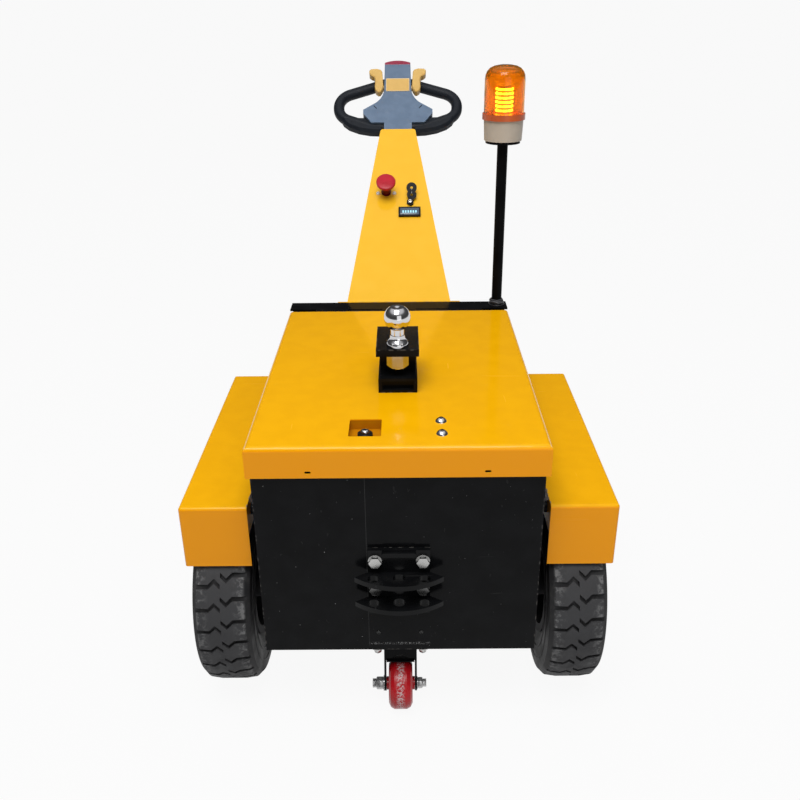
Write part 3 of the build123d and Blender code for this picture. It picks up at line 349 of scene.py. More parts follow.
# %% Black paint
PLAIN_GLOSS = 0.08
BLACK_GLOSS = {"front_deck": 0.02, "beacon_pole": 0.02, "hitch_clevis": 0.12}


def black_paint(name, node, gloss):
    """Gloss black with grey scratches and dust."""
    return finish(name, (0.005, 0.0052, 0.0058), (0.003, 0.0031, 0.0035), (0.12, 0.26), grain_scale=700,
                  bump=0.04, dusty=(26, 0.5, 0.9, 1.0, 0.03, (0.2, 0.19, 0.17)),
                  scratched=(5, 0.72, 0.2, (0.04, 0.04, 0.04)),
                  rubbed=(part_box(node), 0.003, (0.07, 0.065, 0.06)), Specular_IOR_Level=gloss)


BLACK_SOLIDS = (
    "rear_plate", "side_plate_left", "side_plate_right", "front_plate", "floor_plate", "front_deck",
    "castor_pad_rear", "castor_pad_front", "beacon_pole", "lid_hinge_leaf", "ball_bracket", "fender_stays",
    "castor_fork_rear", "castor_fork_front", "castor_plate_rear", "castor_plate_front", "hitch_clevis",
)
for solid in BLACK_SOLIDS:
    dress(black_paint(f"{solid}_black", solid, BLACK_GLOSS.get(solid, PLAIN_GLOSS)), solid)
print("black solids:", len(BLACK_SOLIDS))

# %% [markdown]
# The rear plate has seen use: tiny chips that let the pale undercoat through, and a row of chips along the
# weld over the castor. Both are masks of a noise, the second kept to a narrow band, and are laid over the
# paint. A fine upright seam is a narrow band without a noise.

# %% Chips on the rear plate
def band(tree, value, centre, half, soft):
    """One inside a band of a value, and zero outside."""
    off = sums(tree, "ABSOLUTE", sums(tree, "SUBTRACT", value, centre))
    return ramp(tree, off, half + soft, half)


def overlay(material, mask, colour, share):
    """Lay one more colour over a finished material by a mask."""
    tree = material.node_tree
    shader = tree.nodes["Principled BSDF"]
    under = shader.inputs["Base Color"].links[0].from_socket
    mixed = tone(tree, sums(tree, "MULTIPLY", mask, share), under, (*colour, 1))
    tree.links.new(mixed, shader.inputs["Base Color"])


WELD_HEIGHT = 0.19
WELD_HALF = 0.055
SEAM_X = -0.058
SEAM_MIDDLE = 0.4
SEAM_HALF = 0.21
plate_black = solids["rear_plate"].data.materials[0]
tree = plate_black.node_tree
spot = object_spot(tree)
axes = parts(tree, spot)
overlay(plate_black, ramp(tree, noise(tree, spot, 190.0, 2.0), 0.755, 0.77), (0.25, 0.25, 0.25), 0.8)
chips = ramp(tree, noise(tree, spot, 560.0, 4.0, Roughness=0.7), 0.53, 0.62)
weld = sums(tree, "MULTIPLY", band(tree, axes["Z"], WELD_HEIGHT, 0.0008, 0.0035),
            band(tree, axes["X"], 0.0, WELD_HALF, 0.004))
overlay(plate_black, sums(tree, "MULTIPLY", weld, chips), (0.4, 0.4, 0.4), 0.9)
seam = sums(tree, "MULTIPLY", band(tree, axes["X"], SEAM_X, 0.0003, 0.0006),
            band(tree, axes["Z"], SEAM_MIDDLE, SEAM_HALF, 0.01))
overlay(plate_black, seam, (0.05, 0.05, 0.05), 0.5)
print("chips on:", plate_black.name)

# %% [markdown]
# Yellow paint looks deeper on upright sheet than on level sheet, because less of the white ceiling is
# mixed into it. A mask of the surface's own direction lays a deeper orange over the upright faces.

# %% Painted shade on the skirts
SHADED_SKIRTS = ("lid", "fender_left", "fender_right")
for sheet in SHADED_SKIRTS:
    paint = solids[sheet].data.materials[0]
    tree = paint.node_tree
    lift = parts(tree, put(tree, "ShaderNodeTexCoord").outputs["Normal"])["Z"]
    # Painted shade: faces that turn away from the white ceiling get the deeper orange.
    overlay(paint, ramp(tree, lift, 0.7, 0.3), (0.9, 0.335, 0.001), 1.0)
print("deeper skirts:", len(SHADED_SKIRTS))

# %% [markdown]
# ## Metal
# The hitch bolts and the nut under the ball are zinc plated: pale grey with cloudy patches. The lower
# row of bolts is darkened as painted shade, under the upper crescent. The tow ball and the dome screws
# are chromed and nearly mirrors. The castors' axle nuts are brighter than zinc, and the caps beside the
# stop knob are a pale satin metal, whose pale colour is a painted reflection of the white ceiling. The
# drive is a casting.

# %% Zinc and chrome
def zinc_finish(name):
    """Zinc plate with cloudy patches."""
    return finish(name, (0.5, 0.5, 0.49), (0.36, 0.36, 0.355), (0.16, 0.28), grain_scale=900, bump=0.08,
                  dusty=(40, 0.5, 0.9, 0.6, 0.3, (0.3, 0.27, 0.23)), Metallic=1.0)


zinc = zinc_finish("zinc_plate")
chrome = finish("chrome_plate", (0.66, 0.66, 0.67), (0.58, 0.58, 0.6), (0.05, 0.12), grain_scale=600,
                dusty=(40, 0.55, 0.9, 0.8, 0.2, (0.5, 0.48, 0.45)), Metallic=1.0)
bolt_zinc_lower_shade = zinc_finish("bolt_zinc_lower_shade")
bolts_low, bolts_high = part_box("hitch_bolts")
tree = bolt_zinc_lower_shade.node_tree
rise = parts(tree, object_spot(tree))["Z"]
between_rows = (bolts_low.z + bolts_high.z) / 2
# Painted shade: the lower row of hitch bolts lies in shade under the upper crescent, so it is darkened.
overlay(bolt_zinc_lower_shade, ramp(tree, rise, between_rows + 0.005, between_rows - 0.005), (0.07, 0.07, 0.07), 0.9)
dull_zinc = finish("dull_zinc", (0.06, 0.06, 0.06), (0.04, 0.04, 0.04), (0.4, 0.55), grain_scale=900,
                   Metallic=0.5)
casting = finish("drive_casting", (0.3, 0.3, 0.29), (0.2, 0.2, 0.19), (0.5, 0.7), bump=0.5,
                 dusty=(30, 0.45, 0.8, 0.7, 0.5, (0.25, 0.22, 0.18)), Metallic=0.7)
rim_paint = finish("rim_dark_paint", (0.03, 0.03, 0.032), (0.022, 0.022, 0.024), (0.7, 0.85), grain_scale=700,
                   bump=0.06, dusty=(24, 0.45, 0.85, 0.2, 0.25, (0.16, 0.14, 0.12)),
                   scratched=(7, 0.7, 0.4, (0.12, 0.12, 0.115)), Specular_IOR_Level=0.08)
# Painted reflection: the chromed caps beside the stop knob get a pale colour in place of the white ceiling
# that they reflect.
cap_painted_reflection = finish("cap_painted_reflection", (0.8, 0.8, 0.78), (0.72, 0.72, 0.7), (0.25, 0.4), grain_scale=900,
                    bump=0.04, Metallic=0.35)
bright_zinc = finish("bright_zinc", (0.52, 0.52, 0.52), (0.3, 0.3, 0.3), (0.15, 0.3), grain_scale=900,
                     bump=0.06, Metallic=0.75)
dress(zinc, "ball_nut")
dress(bolt_zinc_lower_shade, "hitch_bolts")
dress(chrome, "tow_ball", "lid_screws")
dress(casting, "drive_unit")
dress(rim_paint, "rim_left", "rim_right")
print("bright finishes:", cap_painted_reflection.name, bright_zinc.name)

# %% [markdown]
# ## Rubber and castor tread
# The tyre is grey-black rubber. Its tread is worn paler than the sidewall, so the paler tone is laid by
# the distance from the wheel's own axis, with scuffs towards the shoulders. The castor tread is a red
# polyurethane with a worn grey streak where it rolls.

# %% Tyre rubber and castor tread
def off_axis(tree, centre, flatten):
    """The arm from a centre to the point, and the arm's length once it is flattened."""
    arm = vectors(tree, "SUBTRACT", object_spot(tree), centre)
    return arm, vectors(tree, "LENGTH", vectors(tree, "MULTIPLY", arm, flatten), output="Value")


def rolling_mask(tree, node, low, high):
    """A mask by the distance from the spin axis, and the distance from the wheel's middle plane."""
    first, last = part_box(node)
    arm, reach = off_axis(tree, (first + last) / 2, (0, 1, 1))
    return ramp(tree, reach, low, high), sums(tree, "ABSOLUTE", parts(tree, arm)["X"])


for side in ("left", "right"):
    rubber = finish(f"tyre_rubber_{side}", (0.018, 0.018, 0.019), (0.011, 0.011, 0.012), (0.6, 0.78),
                    grain_scale=700, bump=0.35, dusty=(40, 0.45, 0.75, 0.0, 0.3, (0.1, 0.096, 0.09)),
                    Specular_IOR_Level=0.3)
    tree = rubber.node_tree
    worn, across = rolling_mask(tree, f"tyre_{side}", 0.1935, 0.197)
    overlay(rubber, worn, (0.04, 0.04, 0.042), 0.85)
    scuffs = ramp(tree, place_group(tree, grain, scale=90, roughness=0.7)["Fine"], 0.46, 0.62)
    scuffs = sums(tree, "MULTIPLY", sums(tree, "MULTIPLY", scuffs, worn), ramp(tree, across, 0.02, 0.045))
    overlay(rubber, scuffs, (0.17, 0.17, 0.17), 0.75)
    dress(rubber, f"tyre_{side}")
for end in ("rear", "front"):
    tread = finish(f"castor_tread_{end}", (0.46, 0.006, 0.012), (0.36, 0.004, 0.008), (0.2, 0.34),
                   grain_scale=600, bump=0.1, dusty=(60, 0.5, 0.8, 0.0, 0.08, (0.3, 0.2, 0.18)),
                   Specular_IOR_Level=0.3)
    tree = tread.node_tree
    rim_reach, across = rolling_mask(tree, f"castor_wheel_{end}", 0.045, 0.049)
    streak = sums(tree, "MULTIPLY", rim_reach, ramp(tree, across, 0.011, 0.002))
    flecks = ramp(tree, place_group(tree, grain, scale=260, roughness=0.75)["Fine"], 0.46, 0.56)
    overlay(tread, sums(tree, "MULTIPLY", streak, flecks), (0.6, 0.5, 0.5), 0.8)
    dress(tread, f"castor_wheel_{end}")
print("rolling finishes: 4")

# %% [markdown]
# ## Plastics
# The steering head is a blue-grey moulding with a leather-like grain, its loop is black grip rubber,
# the stop knob and the rear button are red. The beacon has an amber lens over bright bars, a darker
# amber collar and a beige base. The bars glow only on their outer faces, by the distance from the post.

# %% Moulded plastics
head_blue = finish("head_plastic_blue", (0.108, 0.165, 0.252), (0.09, 0.142, 0.222), (0.38, 0.52),
                   grain_scale=1400, bump=0.35, dusty=(50, 0.5, 0.85, 0.6, 0.15, (0.4, 0.42, 0.45)))
grip = finish("loop_grip_rubber", (0.007, 0.01, 0.015), (0.005, 0.007, 0.011), (0.42, 0.56),
              grain_scale=1800, bump=0.5, dusty=(60, 0.5, 0.85, 0.5, 0.05, (0.08, 0.09, 0.1)),
              Specular_IOR_Level=0.2)
stop_red = finish("stop_red_plastic", (0.46, 0.008, 0.024), (0.39, 0.006, 0.018), (0.25, 0.36),
                  grain_scale=1200, bump=0.08, dusty=(60, 0.5, 0.85, 0.6, 0.03, (0.5, 0.3, 0.3)),
                  Specular_IOR_Level=0.25)
button_crimson = finish("button_crimson", (0.3, 0.012, 0.05), (0.24, 0.008, 0.035), (0.25, 0.36),
                        grain_scale=1200, bump=0.08)
black_plastic = finish("black_plastic", (0.006, 0.0062, 0.007), (0.004, 0.0042, 0.005), (0.3, 0.45),
                       grain_scale=1500, bump=0.2, dusty=(60, 0.5, 0.85, 0.5, 0.04, (0.1, 0.1, 0.1)),
                       Specular_IOR_Level=0.15)
label_yellow = finish("control_yellow", (0.68, 0.43, 0.12), (0.62, 0.38, 0.1), (0.3, 0.42), grain_scale=900,
                      bump=0.05)
seal_rubber = finish("seal_rubber", (0.02, 0.02, 0.021), (0.013, 0.013, 0.014), (0.6, 0.75),
                     grain_scale=1200, bump=0.3)
battery_case = finish("battery_case", (0.03, 0.032, 0.036), (0.02, 0.021, 0.024), (0.4, 0.55),
                      grain_scale=1000, bump=0.3, dusty=(24, 0.45, 0.8, 1.0, 0.45, (0.25, 0.23, 0.2)))
dress(head_blue, "tiller_head")
dress(grip, "handle_loop")
dress(stop_red, "emergency_stop")
dress(button_crimson, "belly_button")
dress(black_plastic, "key_switch", "battery_gauge", "latch_lock")
dress(label_yellow, "head_label", "throttle_levers")
dress(seal_rubber, "lid_seal")
dress(battery_case, "battery_pack")
print("plastics on:", "head, controls, seal and batteries")

# %% Beacon
LAMP_WHITE = (1, 0.95, 0.88, 1)
base_beige = finish("beacon_base_beige", (0.5, 0.445, 0.37), (0.44, 0.39, 0.325), (0.4, 0.55),
                    grain_scale=900, bump=0.2, dusty=(50, 0.5, 0.85, 0.4, 0.3, (0.5, 0.45, 0.38)))
collar_amber = finish("collar_amber", (0.52, 0.085, 0.002), (0.42, 0.06, 0.002), (0.25, 0.35),
                      grain_scale=900, bump=0.05)
lens_amber = finish("lens_amber", (0.86, 0.39, 0.01), (0.8, 0.34, 0.007), (0.04, 0.08), grain_scale=700,
                    Transmission_Weight=0.85, IOR=1.3)
lamp_bars = finish("lamp_bars", (0.5, 0.2, 0.03), (0.42, 0.16, 0.02), (0.3, 0.4), grain_scale=900,
                   Emission_Color=LAMP_WHITE)
lamp_glow = finish("lamp_glow", (0.9, 0.7, 0.3), (0.85, 0.62, 0.25), (0.3, 0.4), grain_scale=900,
                   Emission_Color=LAMP_WHITE, Emission_Strength=10.0)
tree = lamp_bars.node_tree
led_low, led_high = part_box("beacon_led")
post_reach = off_axis(tree, (led_low + led_high) / 2, (1, 1, 0))[1]
bar_glow = ramp(tree, post_reach, 0.0152, 0.0165, 0.0, 8.0)
tree.links.new(bar_glow, tree.nodes["Principled BSDF"].inputs["Emission Strength"])
dress(base_beige, "beacon_base")
dress(collar_amber, "beacon_collar")
dress(lens_amber, "beacon_lens")
dress(lamp_bars, "beacon_led")
print("beacon finishes:", base_beige.name, collar_amber.name, lens_amber.name, lamp_bars.name)

# %% [markdown]
# ## Smooth turned parts
# The ball, the beacon and the stop knob would come off a lathe or out of a round mould, so their facets
# should not show. A weld modifier joins the triangles, the faces are shaded smooth, and an edge split
# modifier keeps the steps crisp. The red button is moulded with round edges, so it gets a bevel modifier
# instead. The modifiers stay live, so the solids themselves keep their shape.

# %% Weld, edge split and bevel
STEP_ANGLE = radians(30)
BUTTON_EDGE = 0.003
JOIN_DISTANCE = 0.00001
SMOOTH_SOLIDS = ("tow_ball", "beacon_lens", "beacon_base", "beacon_collar", "emergency_stop", "belly_button")
for name in SMOOTH_SOLIDS:
    solid = solids[name]
    bpy.ops.object.select_all(action="DESELECT")
    solid.select_set(True)
    bpy.context.view_layer.objects.active = solid
    bpy.ops.mesh.customdata_custom_splitnormals_clear()
    bpy.ops.object.shade_smooth()
    joined = solid.modifiers.new("joined", "WELD")
    joined.merge_threshold = JOIN_DISTANCE
    if name == "belly_button":
        rounded = solid.modifiers.new("rounded", "BEVEL")
        rounded.width = BUTTON_EDGE
        rounded.segments = 2
        rounded.limit_method = "ANGLE"
        rounded.angle_limit = STEP_ANGLE
        rounded.harden_normals = True
    else:
        stepped = solid.modifiers.new("stepped", "EDGE_SPLIT")
        stepped.split_angle = STEP_ANGLE
print("smooth solids:", len(SMOOTH_SOLIDS))

# %% [markdown]
# ## Tools for the small parts
# Screws, nuts and caps are modelled upright at the origin from a primitive, as one would at the
# start of a new file, and then copied to their places. A copy has its own mesh, with its place in
# the mesh, so the object itself stays at the origin like the solids do. Faces are picked in code by
# their place or by the way that they look.

# %% Begin, pick, push
UP = Vector((0, 0, 1))


def begin(name, adder, **sizes):
    """Start a piece from a primitive, with nothing else selected."""
    bpy.ops.object.select_all(action="DESELECT")
    adder(**sizes)
    piece = bpy.context.object
    piece.name = name
    piece.data.name = name
    return piece


def standing(name, sides, radius, height, lift=0.0):
    """A cylinder that stands on the origin, or at a lift above it."""
    piece = begin(name, bpy.ops.mesh.primitive_cylinder_add, vertices=sides, radius=radius, depth=height,
                  location=(0, 0, lift + height / 2))
    bpy.ops.object.transform_apply(location=True)
    return piece


def block(name, size, lift=0.0):
    """A box with its middle on the origin, or at a lift above it."""
    piece = begin(name, bpy.ops.mesh.primitive_cube_add, size=1, location=(0, 0, lift))
    bpy.ops.transform.resize(value=size)
    bpy.ops.object.transform_apply(location=True, scale=True)
    return piece


def pick(piece, test):
    """Select the faces whose centre and normal pass the test, and stay in edit mode."""
    bpy.ops.object.mode_set(mode="EDIT")
    bpy.ops.mesh.select_mode(type="FACE")
    bpy.ops.mesh.select_all(action="DESELECT")
    bpy.ops.object.mode_set(mode="OBJECT")
    for face in piece.data.polygons:
        face.select = test(face.center, face.normal)
    bpy.ops.object.mode_set(mode="EDIT")


def top_face(centre, normal):
    """True for a face that looks up."""
    return normal.z > 0.9


def end_face(centre, normal):
    """True for a face that looks up or down."""
    return abs(normal.z) > 0.9


def push(distance):
    """Extrude the picked faces up, or down where the distance is negative."""
    bpy.ops.mesh.extrude_region_move(TRANSFORM_OT_translate={"value": (0, 0, distance)})


def step_top(piece, rim, distance):
    """Inset the top face by a rim, and push what lies inside it up or down."""
    pick(piece, top_face)
    bpy.ops.mesh.inset(thickness=rim)
    push(distance)


def draw_up(piece, steps):
    """Push the top face up step by step, each time drawn in by a share."""
    for rise, share in steps:
        pick(piece, top_face)
        push(rise)
        bpy.ops.transform.resize(value=(share, share, 1))
        bpy.ops.object.mode_set(mode="OBJECT")


print("modelling helpers ready")


# %% Finish a piece and set it down
def done(piece, material, angle=35, bevel=0.0, recalculate=True):
    """Leave edit mode, point the faces outwards where asked, round the edges, shade and paint."""
    bpy.ops.object.mode_set(mode="EDIT")
    bpy.ops.mesh.select_all(action="SELECT")
    if recalculate:
        bpy.ops.mesh.normals_make_consistent(inside=False)
    bpy.ops.object.mode_set(mode="OBJECT")
    if bevel:
        rounding = piece.modifiers.new("rounding", "BEVEL")
        rounding.width = bevel
        rounding.segments = 2
        rounding.limit_method = "ANGLE"
        bpy.ops.object.modifier_apply(modifier=rounding.name)
    bpy.ops.object.shade_smooth_by_angle(angle=radians(angle))
    piece.data.materials.clear()
    piece.data.materials.append(material)
    return piece


def set_down(model, name, places, body, turn=(0, 0, 0), facing=None):
    """Copy a model to places on a body, turned by angles or facing a direction, then drop the model."""
    turned = Matrix.Rotation(turn[2], 4, "Z") @ Matrix.Rotation(turn[1], 4, "Y")
    turned = turned @ Matrix.Rotation(turn[0], 4, "X")
    if facing is not None:
        turned = UP.rotation_difference(Vector(facing)).to_matrix().to_4x4() @ turned
    model.name = f"{name}_model"
    for number, spot in enumerate(places):
        twin = model.copy()
        twin.data = model.data.copy()
        twin.name = f"{name}_{number + 1}" if len(places) > 1 else name
        twin.data.name = twin.name
        twin.data.transform(Matrix.Translation(spot) @ turned)
        bpy.context.scene.collection.objects.link(twin)
        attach(twin, body)
    bpy.data.objects.remove(model)
    print(f"{name}: {len(places)} on {body}")


# %% [markdown]
# ## Places on the machine
# The arm leans back by 50 degrees, so parts on it are placed by how far they are across, up its
# slope and out of its face. Everything else is placed from the boxes of the solids it sits on. The
# same measure out of the arm darkens the neck of the stop knob, as painted shade under its cap.

# %% Places
SLOPE = radians(40)
ON_SLOPE = (SLOPE, 0, 0)
ALONG_ARM = Vector((0, cos(SLOPE), sin(SLOPE)))
OUT_OF_ARM = Vector((0, -sin(SLOPE), cos(SLOPE)))
SIDES = (-1, 1)
deck_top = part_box("lid")[1].z
arm_foot_point = Vector((0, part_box("arm_foot")[1].y, deck_top))


def on_arm(across, up, out):
    """A point on the arm, in metres across, up the slope and out of the face."""
    return arm_foot_point + Vector((across, 0, 0)) + ALONG_ARM * up + OUT_OF_ARM * out


def middle(node):
    """The middle of a solid's box."""
    low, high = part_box(node)
    return (low + high) / 2


# Painted shade: the stop knob's neck, under its wider cap, is darkened towards the arm's face.
tree = stop_red.node_tree
rise = vectors(tree, "SUBTRACT", object_spot(tree), arm_foot_point)
rise = vectors(tree, "DOT_PRODUCT", rise, OUT_OF_ARM, "Value")
overlay(stop_red, ramp(tree, rise, 0.04, 0.012), (0.09, 0.003, 0.006), 0.9)
print("arm foot:", arm_foot_point[:])

# %% [markdown]
# ## Screws
# A dome-head screw starts as a short cylinder. Its top face is extruded and drawn in three times, which
# gives the dome, and then inset and pushed down for the driver's socket. Turning a profile would do
# too, but the socket would need a second step there as well.

# %% One dome-head screw, many copies
def dome_screw(name, radius, height, material):
    """A dome head with a round socket, sitting on the origin."""
    screw = standing(name, 28, radius, height * 0.3)
    draw_up(screw, [(height * 0.3, 0.9), (height * 0.25, 0.78), (height * 0.15, 0.72)])
    pick(screw, lambda centre, normal: normal.z > 0.9 and centre.z > height * 0.9)
    bpy.ops.mesh.inset(thickness=radius * 0.12)
    push(-height * 0.45)
    return done(screw, material)


STOP_UP = 0.329
STOP_SCREW_SPREAD = 0.0213
stop_low, stop_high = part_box("emergency_stop")
stop_x = (stop_low.x + stop_high.x) / 2
screw = dome_screw("stop_screw", 0.0052, 0.004, cap_painted_reflection)
set_down(screw, "stop_screw", [on_arm(stop_x + side * STOP_SCREW_SPREAD, STOP_UP, 0) for side in SIDES],
         "chassis", turn=ON_SLOPE)
PAN_SCREW_SPREAD = 0.0185
PAN_SCREW_BACK = 0.004
lock = middle("latch_lock")
pan_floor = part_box("latch_lock")[0].z
screw = dome_screw("pan_screw", 0.004, 0.003, zinc)
set_down(screw, "pan_screw",
         [(lock.x + side * PAN_SCREW_SPREAD, lock.y + PAN_SCREW_BACK, pan_floor) for side in SIDES],
         "lid")
PLATE_SCREW_SPREAD = 0.04
PLATE_SCREW_HEIGHT = 0.217
plate_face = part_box("rear_plate")[0].y
screw = dome_screw("plate_screw", 0.004, 0.0025, dull_zinc)
set_down(screw, "plate_screw",
         [(side * PLATE_SCREW_SPREAD, plate_face, PLATE_SCREW_HEIGHT) for side in SIDES],
         "chassis", facing=(0, -1, 0))

# %% [markdown]
# The two dome screws on the lid are solids, so only their dark sockets are added: a six-sided cup
# that just breaks the dome's top.

# %% Sockets of the lid screws
SOCKET_SUNK = 0.0012
screws_low, screws_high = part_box("lid_screws")
screw_x = (screws_low.x + screws_high.x) / 2
screw_reach = (screws_high.x - screws_low.x) / 2
screw_ys = (screws_low.y + screw_reach, screws_high.y - screw_reach)
socket = begin("screw_socket", bpy.ops.mesh.primitive_cylinder_add, vertices=6, radius=0.0036, depth=0.003)
step_top(socket, 0.0006, -0.0022)
done(socket, black_plastic)
set_down(socket, "screw_socket",
         [(screw_x, y, screws_high.z - SOCKET_SUNK) for y in screw_ys],
         "lid")

# %% [markdown]
# ## Nuts
# A nut is a six-sided cylinder. Bevelling its upper and lower rim gives the turned corners that a
# real nut has, and an inset top face is pulled up as the bolt's end. Its faces already look outwards,
# so they are left as they are.

# %% Hex nut with a washer and a bolt end
def hex_nut(name, across, height, washer, bolt, material):
    """A nut on a round washer, given as radius and thickness, with a bolt end standing out of it."""
    nut = standing(name, 6, across / 2 / cos(pi / 6), height, lift=washer[1])
    pick(nut, end_face)
    bpy.ops.mesh.region_to_loop()
    bpy.ops.mesh.bevel(offset=across * 0.07, segments=2)
    bpy.ops.object.mode_set(mode="OBJECT")
    pick(nut, lambda centre, normal: normal.z > 0.9 and centre.z > height * 0.9)
    bpy.ops.mesh.inset(thickness=across * 0.14)
    push(bolt)
    bpy.ops.mesh.inset(thickness=across * 0.04)
    bpy.ops.object.mode_set(mode="OBJECT")
    ring = standing(name + "_washer", 32, washer[0], washer[1])
    pick(ring, top_face)
    bpy.ops.mesh.inset(thickness=washer[0] * 0.12)
    bpy.ops.object.mode_set(mode="OBJECT")
    bpy.ops.object.select_all(action="DESELECT")
    ring.select_set(True)
    nut.select_set(True)
    bpy.context.view_layer.objects.active = nut
    bpy.ops.object.join()
    return done(nut, material, bevel=0.0003, recalculate=False)


ENDS = ("rear", "front")
AXLE_END = 0.0325
AXLE_NUTS = (("left", -1, 0.022, 0.014, (0.015, 0.002)), ("right", 1, 0.0195, 0.0095, (0.0125, 0.0015)))
for end in ENDS:
    wheel = middle(f"castor_wheel_{end}")
    for side, sign, across, height, washer in AXLE_NUTS:
        nut = hex_nut("axle_nut", across, height, washer, 0.007, bright_zinc)
        set_down(nut, f"axle_nut_{end}_{side}", [wheel + Vector((sign * AXLE_END, 0, 0))],
                 f"castor_swivel_{end}", facing=(sign, 0, 0))

CASTOR_BOLT_ACROSS = 0.044
CASTOR_BOLT_ALONG = 0.035
CASTOR_BOLT_HEIGHT = 0.143
for end in ENDS:
    plate = middle(f"castor_plate_{end}")
    grid = [(across * CASTOR_BOLT_ACROSS, plate.y + along * CASTOR_BOLT_ALONG, CASTOR_BOLT_HEIGHT)
            for across in SIDES for along in SIDES]
    nut = hex_nut("castor_bolt", 0.0148, 0.0085, (0.0105, 0.0015), 0.002, zinc)
    set_down(nut, f"castor_bolt_{end}", grid, "chassis", turn=(pi, 0, 0))

pole_low, pole_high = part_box("beacon_pole")
pole = (pole_low + pole_high) / 2
gunmetal = finish("gunmetal_nut", (0.13, 0.13, 0.135), (0.09, 0.09, 0.095), (0.3, 0.45), grain_scale=800,
                  bump=0.1, dusty=(60, 0.45, 0.8, 0.8, 0.35, (0.3, 0.28, 0.25)), Metallic=0.9)
nut = hex_nut("pole_nut", 0.034, 0.008, (0.02, 0.0022), 0.002, gunmetal)
set_down(nut, "pole_nut", [(pole.x, pole.y, deck_top)], "chassis")

# %% [markdown]
# ## Latch and key
# The latch's lock has a black sleeve and a chrome dome. The sleeve is a cylinder whose top is
# inset and pushed down, which leaves a wall round the dome. The key's blade is drawn in at its top,
# and a thin ring hangs in the key.

# %% Lock sleeve, lock dome, key blade and key ring
DOME_SUNK = 0.0035
sleeve = standing("lock_sleeve", 40, 0.0135, 0.0145)
step_top(sleeve, 0.0055, -0.001)
done(sleeve, black_plastic, bevel=0.0008)
set_down(sleeve, "lock_sleeve", [(lock.x, lock.y, pan_floor)], "lid")
dome = dome_screw("lock_dome", 0.0078, 0.005, chrome)
set_down(dome, "lock_dome", [(lock.x, lock.y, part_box("latch_lock")[1].z - DOME_SUNK)], "lid")

KEY_UP = 0.297
shank = standing("key_blade", 24, 0.005, 0.009)
step_top(shank, 0.0022, 0.004)
bpy.ops.transform.resize(value=(0.7, 0.7, 1))
done(shank, zinc, bevel=0.0004)
set_down(shank, "key_blade", [on_arm(0.031, KEY_UP, 0.002)], "chassis", turn=ON_SLOPE)
ring = begin("key_ring", bpy.ops.mesh.primitive_torus_add, major_radius=0.0095, minor_radius=0.0007,
             major_segments=36, minor_segments=8)
done(ring, chrome)
set_down(ring, "key_ring", [on_arm(0.035, KEY_UP + 0.0265, 0.0154)], "chassis",
         turn=(0, pi / 2, 0))

# %% [markdown]
# ## Tow ball
# The ball stands on a turned collar. A lathe would cut it from the bar, so here it is drawn out ring by
# ring: a cylinder's top face is extruded and drawn in to follow the bell shape.

# %% Ball collar
COLLAR_RADIUS = 0.0207
COLLAR_RISES = (0.002, 0.002, 0.002, 0.003, 0.003, 0.006)
COLLAR_RADII = (0.0204, 0.0193, 0.0177, 0.0157, 0.0146, 0.0142)
ball = middle("tow_ball")
collar = standing("ball_collar", 64, COLLAR_RADIUS, 0.004)
shares = [radius / before for radius, before in zip(COLLAR_RADII, (COLLAR_RADIUS, *COLLAR_RADII))]
draw_up(collar, zip(COLLAR_RISES, shares))
done(collar, chrome, angle=50)
set_down(collar, "ball_collar", [(ball.x, ball.y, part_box("ball_bracket")[1].z)], "lid")

# %% [markdown]
# ## Lamp rows
# Behind the amber lens, each of the six lamp rows is covered by a narrow clear band that spreads its
# light. A band is a short cylinder with its ends inset and sunk a little, copied up the lamp post.

# %% Bands over the lamp rows
LAMP_ROWS = 6
LAMP_PITCH = 0.0089
led = middle("beacon_led")
first_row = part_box("beacon_led")[1].z - 0.048
lamp = begin("lamp_row", bpy.ops.mesh.primitive_cylinder_add, vertices=48, radius=0.0196, depth=0.0036)
pick(lamp, end_face)
bpy.ops.mesh.inset(thickness=0.0012)
bpy.ops.transform.resize(value=(1, 1, 0.8))
done(lamp, lamp_glow, bevel=0.0005)
set_down(lamp, "lamp_row", [(led.x, led.y, first_row + LAMP_PITCH * row) for row in range(LAMP_ROWS)],
         "chassis")

# %% [markdown]
# ## Battery gauge
# The gauge has a raised frame round a small screen with a row of bars that shows the charge. The frame
# is a flat block with its top inset and sunk, the screen lies in it, and one bar is modelled and copied.

# %% Gauge frame, screen and bars
GAUGE_UP = 0.267
BARS = 6
BAR_FIRST = -0.0165
BAR_PITCH = 0.0066
gauge_low, gauge_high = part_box("battery_gauge")
gauge_x = (gauge_low.x + gauge_high.x) / 2
screen_blue = finish("gauge_screen", (0.075, 0.115, 0.16), (0.06, 0.09, 0.13), (0.12, 0.2),
                     dusty=(60, 0.5, 0.9, 0.4, 0.15, (0.3, 0.33, 0.36)))
bar_blue = finish("gauge_bar", (0.3, 0.62, 0.75), (0.24, 0.55, 0.7), (0.3, 0.4), grain_scale=900,
                  Emission_Color=(0.3, 0.62, 0.75, 1), Emission_Strength=0.35)
gauge_frame = block("gauge_frame", (0.057, 0.028, 0.007))
step_top(gauge_frame, 0.0038, -0.0012)
done(gauge_frame, black_plastic, bevel=0.0007)
set_down(gauge_frame, "gauge_frame", [on_arm(gauge_x, GAUGE_UP, 0.0036)], "chassis",
         turn=ON_SLOPE)
screen = block("gauge_screen", (0.0492, 0.0202, 0.001))
done(screen, screen_blue, bevel=0.0003)
set_down(screen, "gauge_screen", [on_arm(gauge_x, GAUGE_UP, 0.0063)], "chassis",
         turn=ON_SLOPE)
bar = block("gauge_bar", (0.0042, 0.0075, 0.0005))
done(bar, bar_blue, bevel=0.0002)
bar_places = [on_arm(gauge_x + BAR_FIRST + BAR_PITCH * step, GAUGE_UP - 0.0015, 0.007)
              for step in range(BARS)]
set_down(bar, "gauge_bar", bar_places, "chassis", turn=ON_SLOPE)

# %% [markdown]
# ## Steering head
# Two narrow vents are moulded into the wings. Each is a thin dark block whose top is inset and sunk.

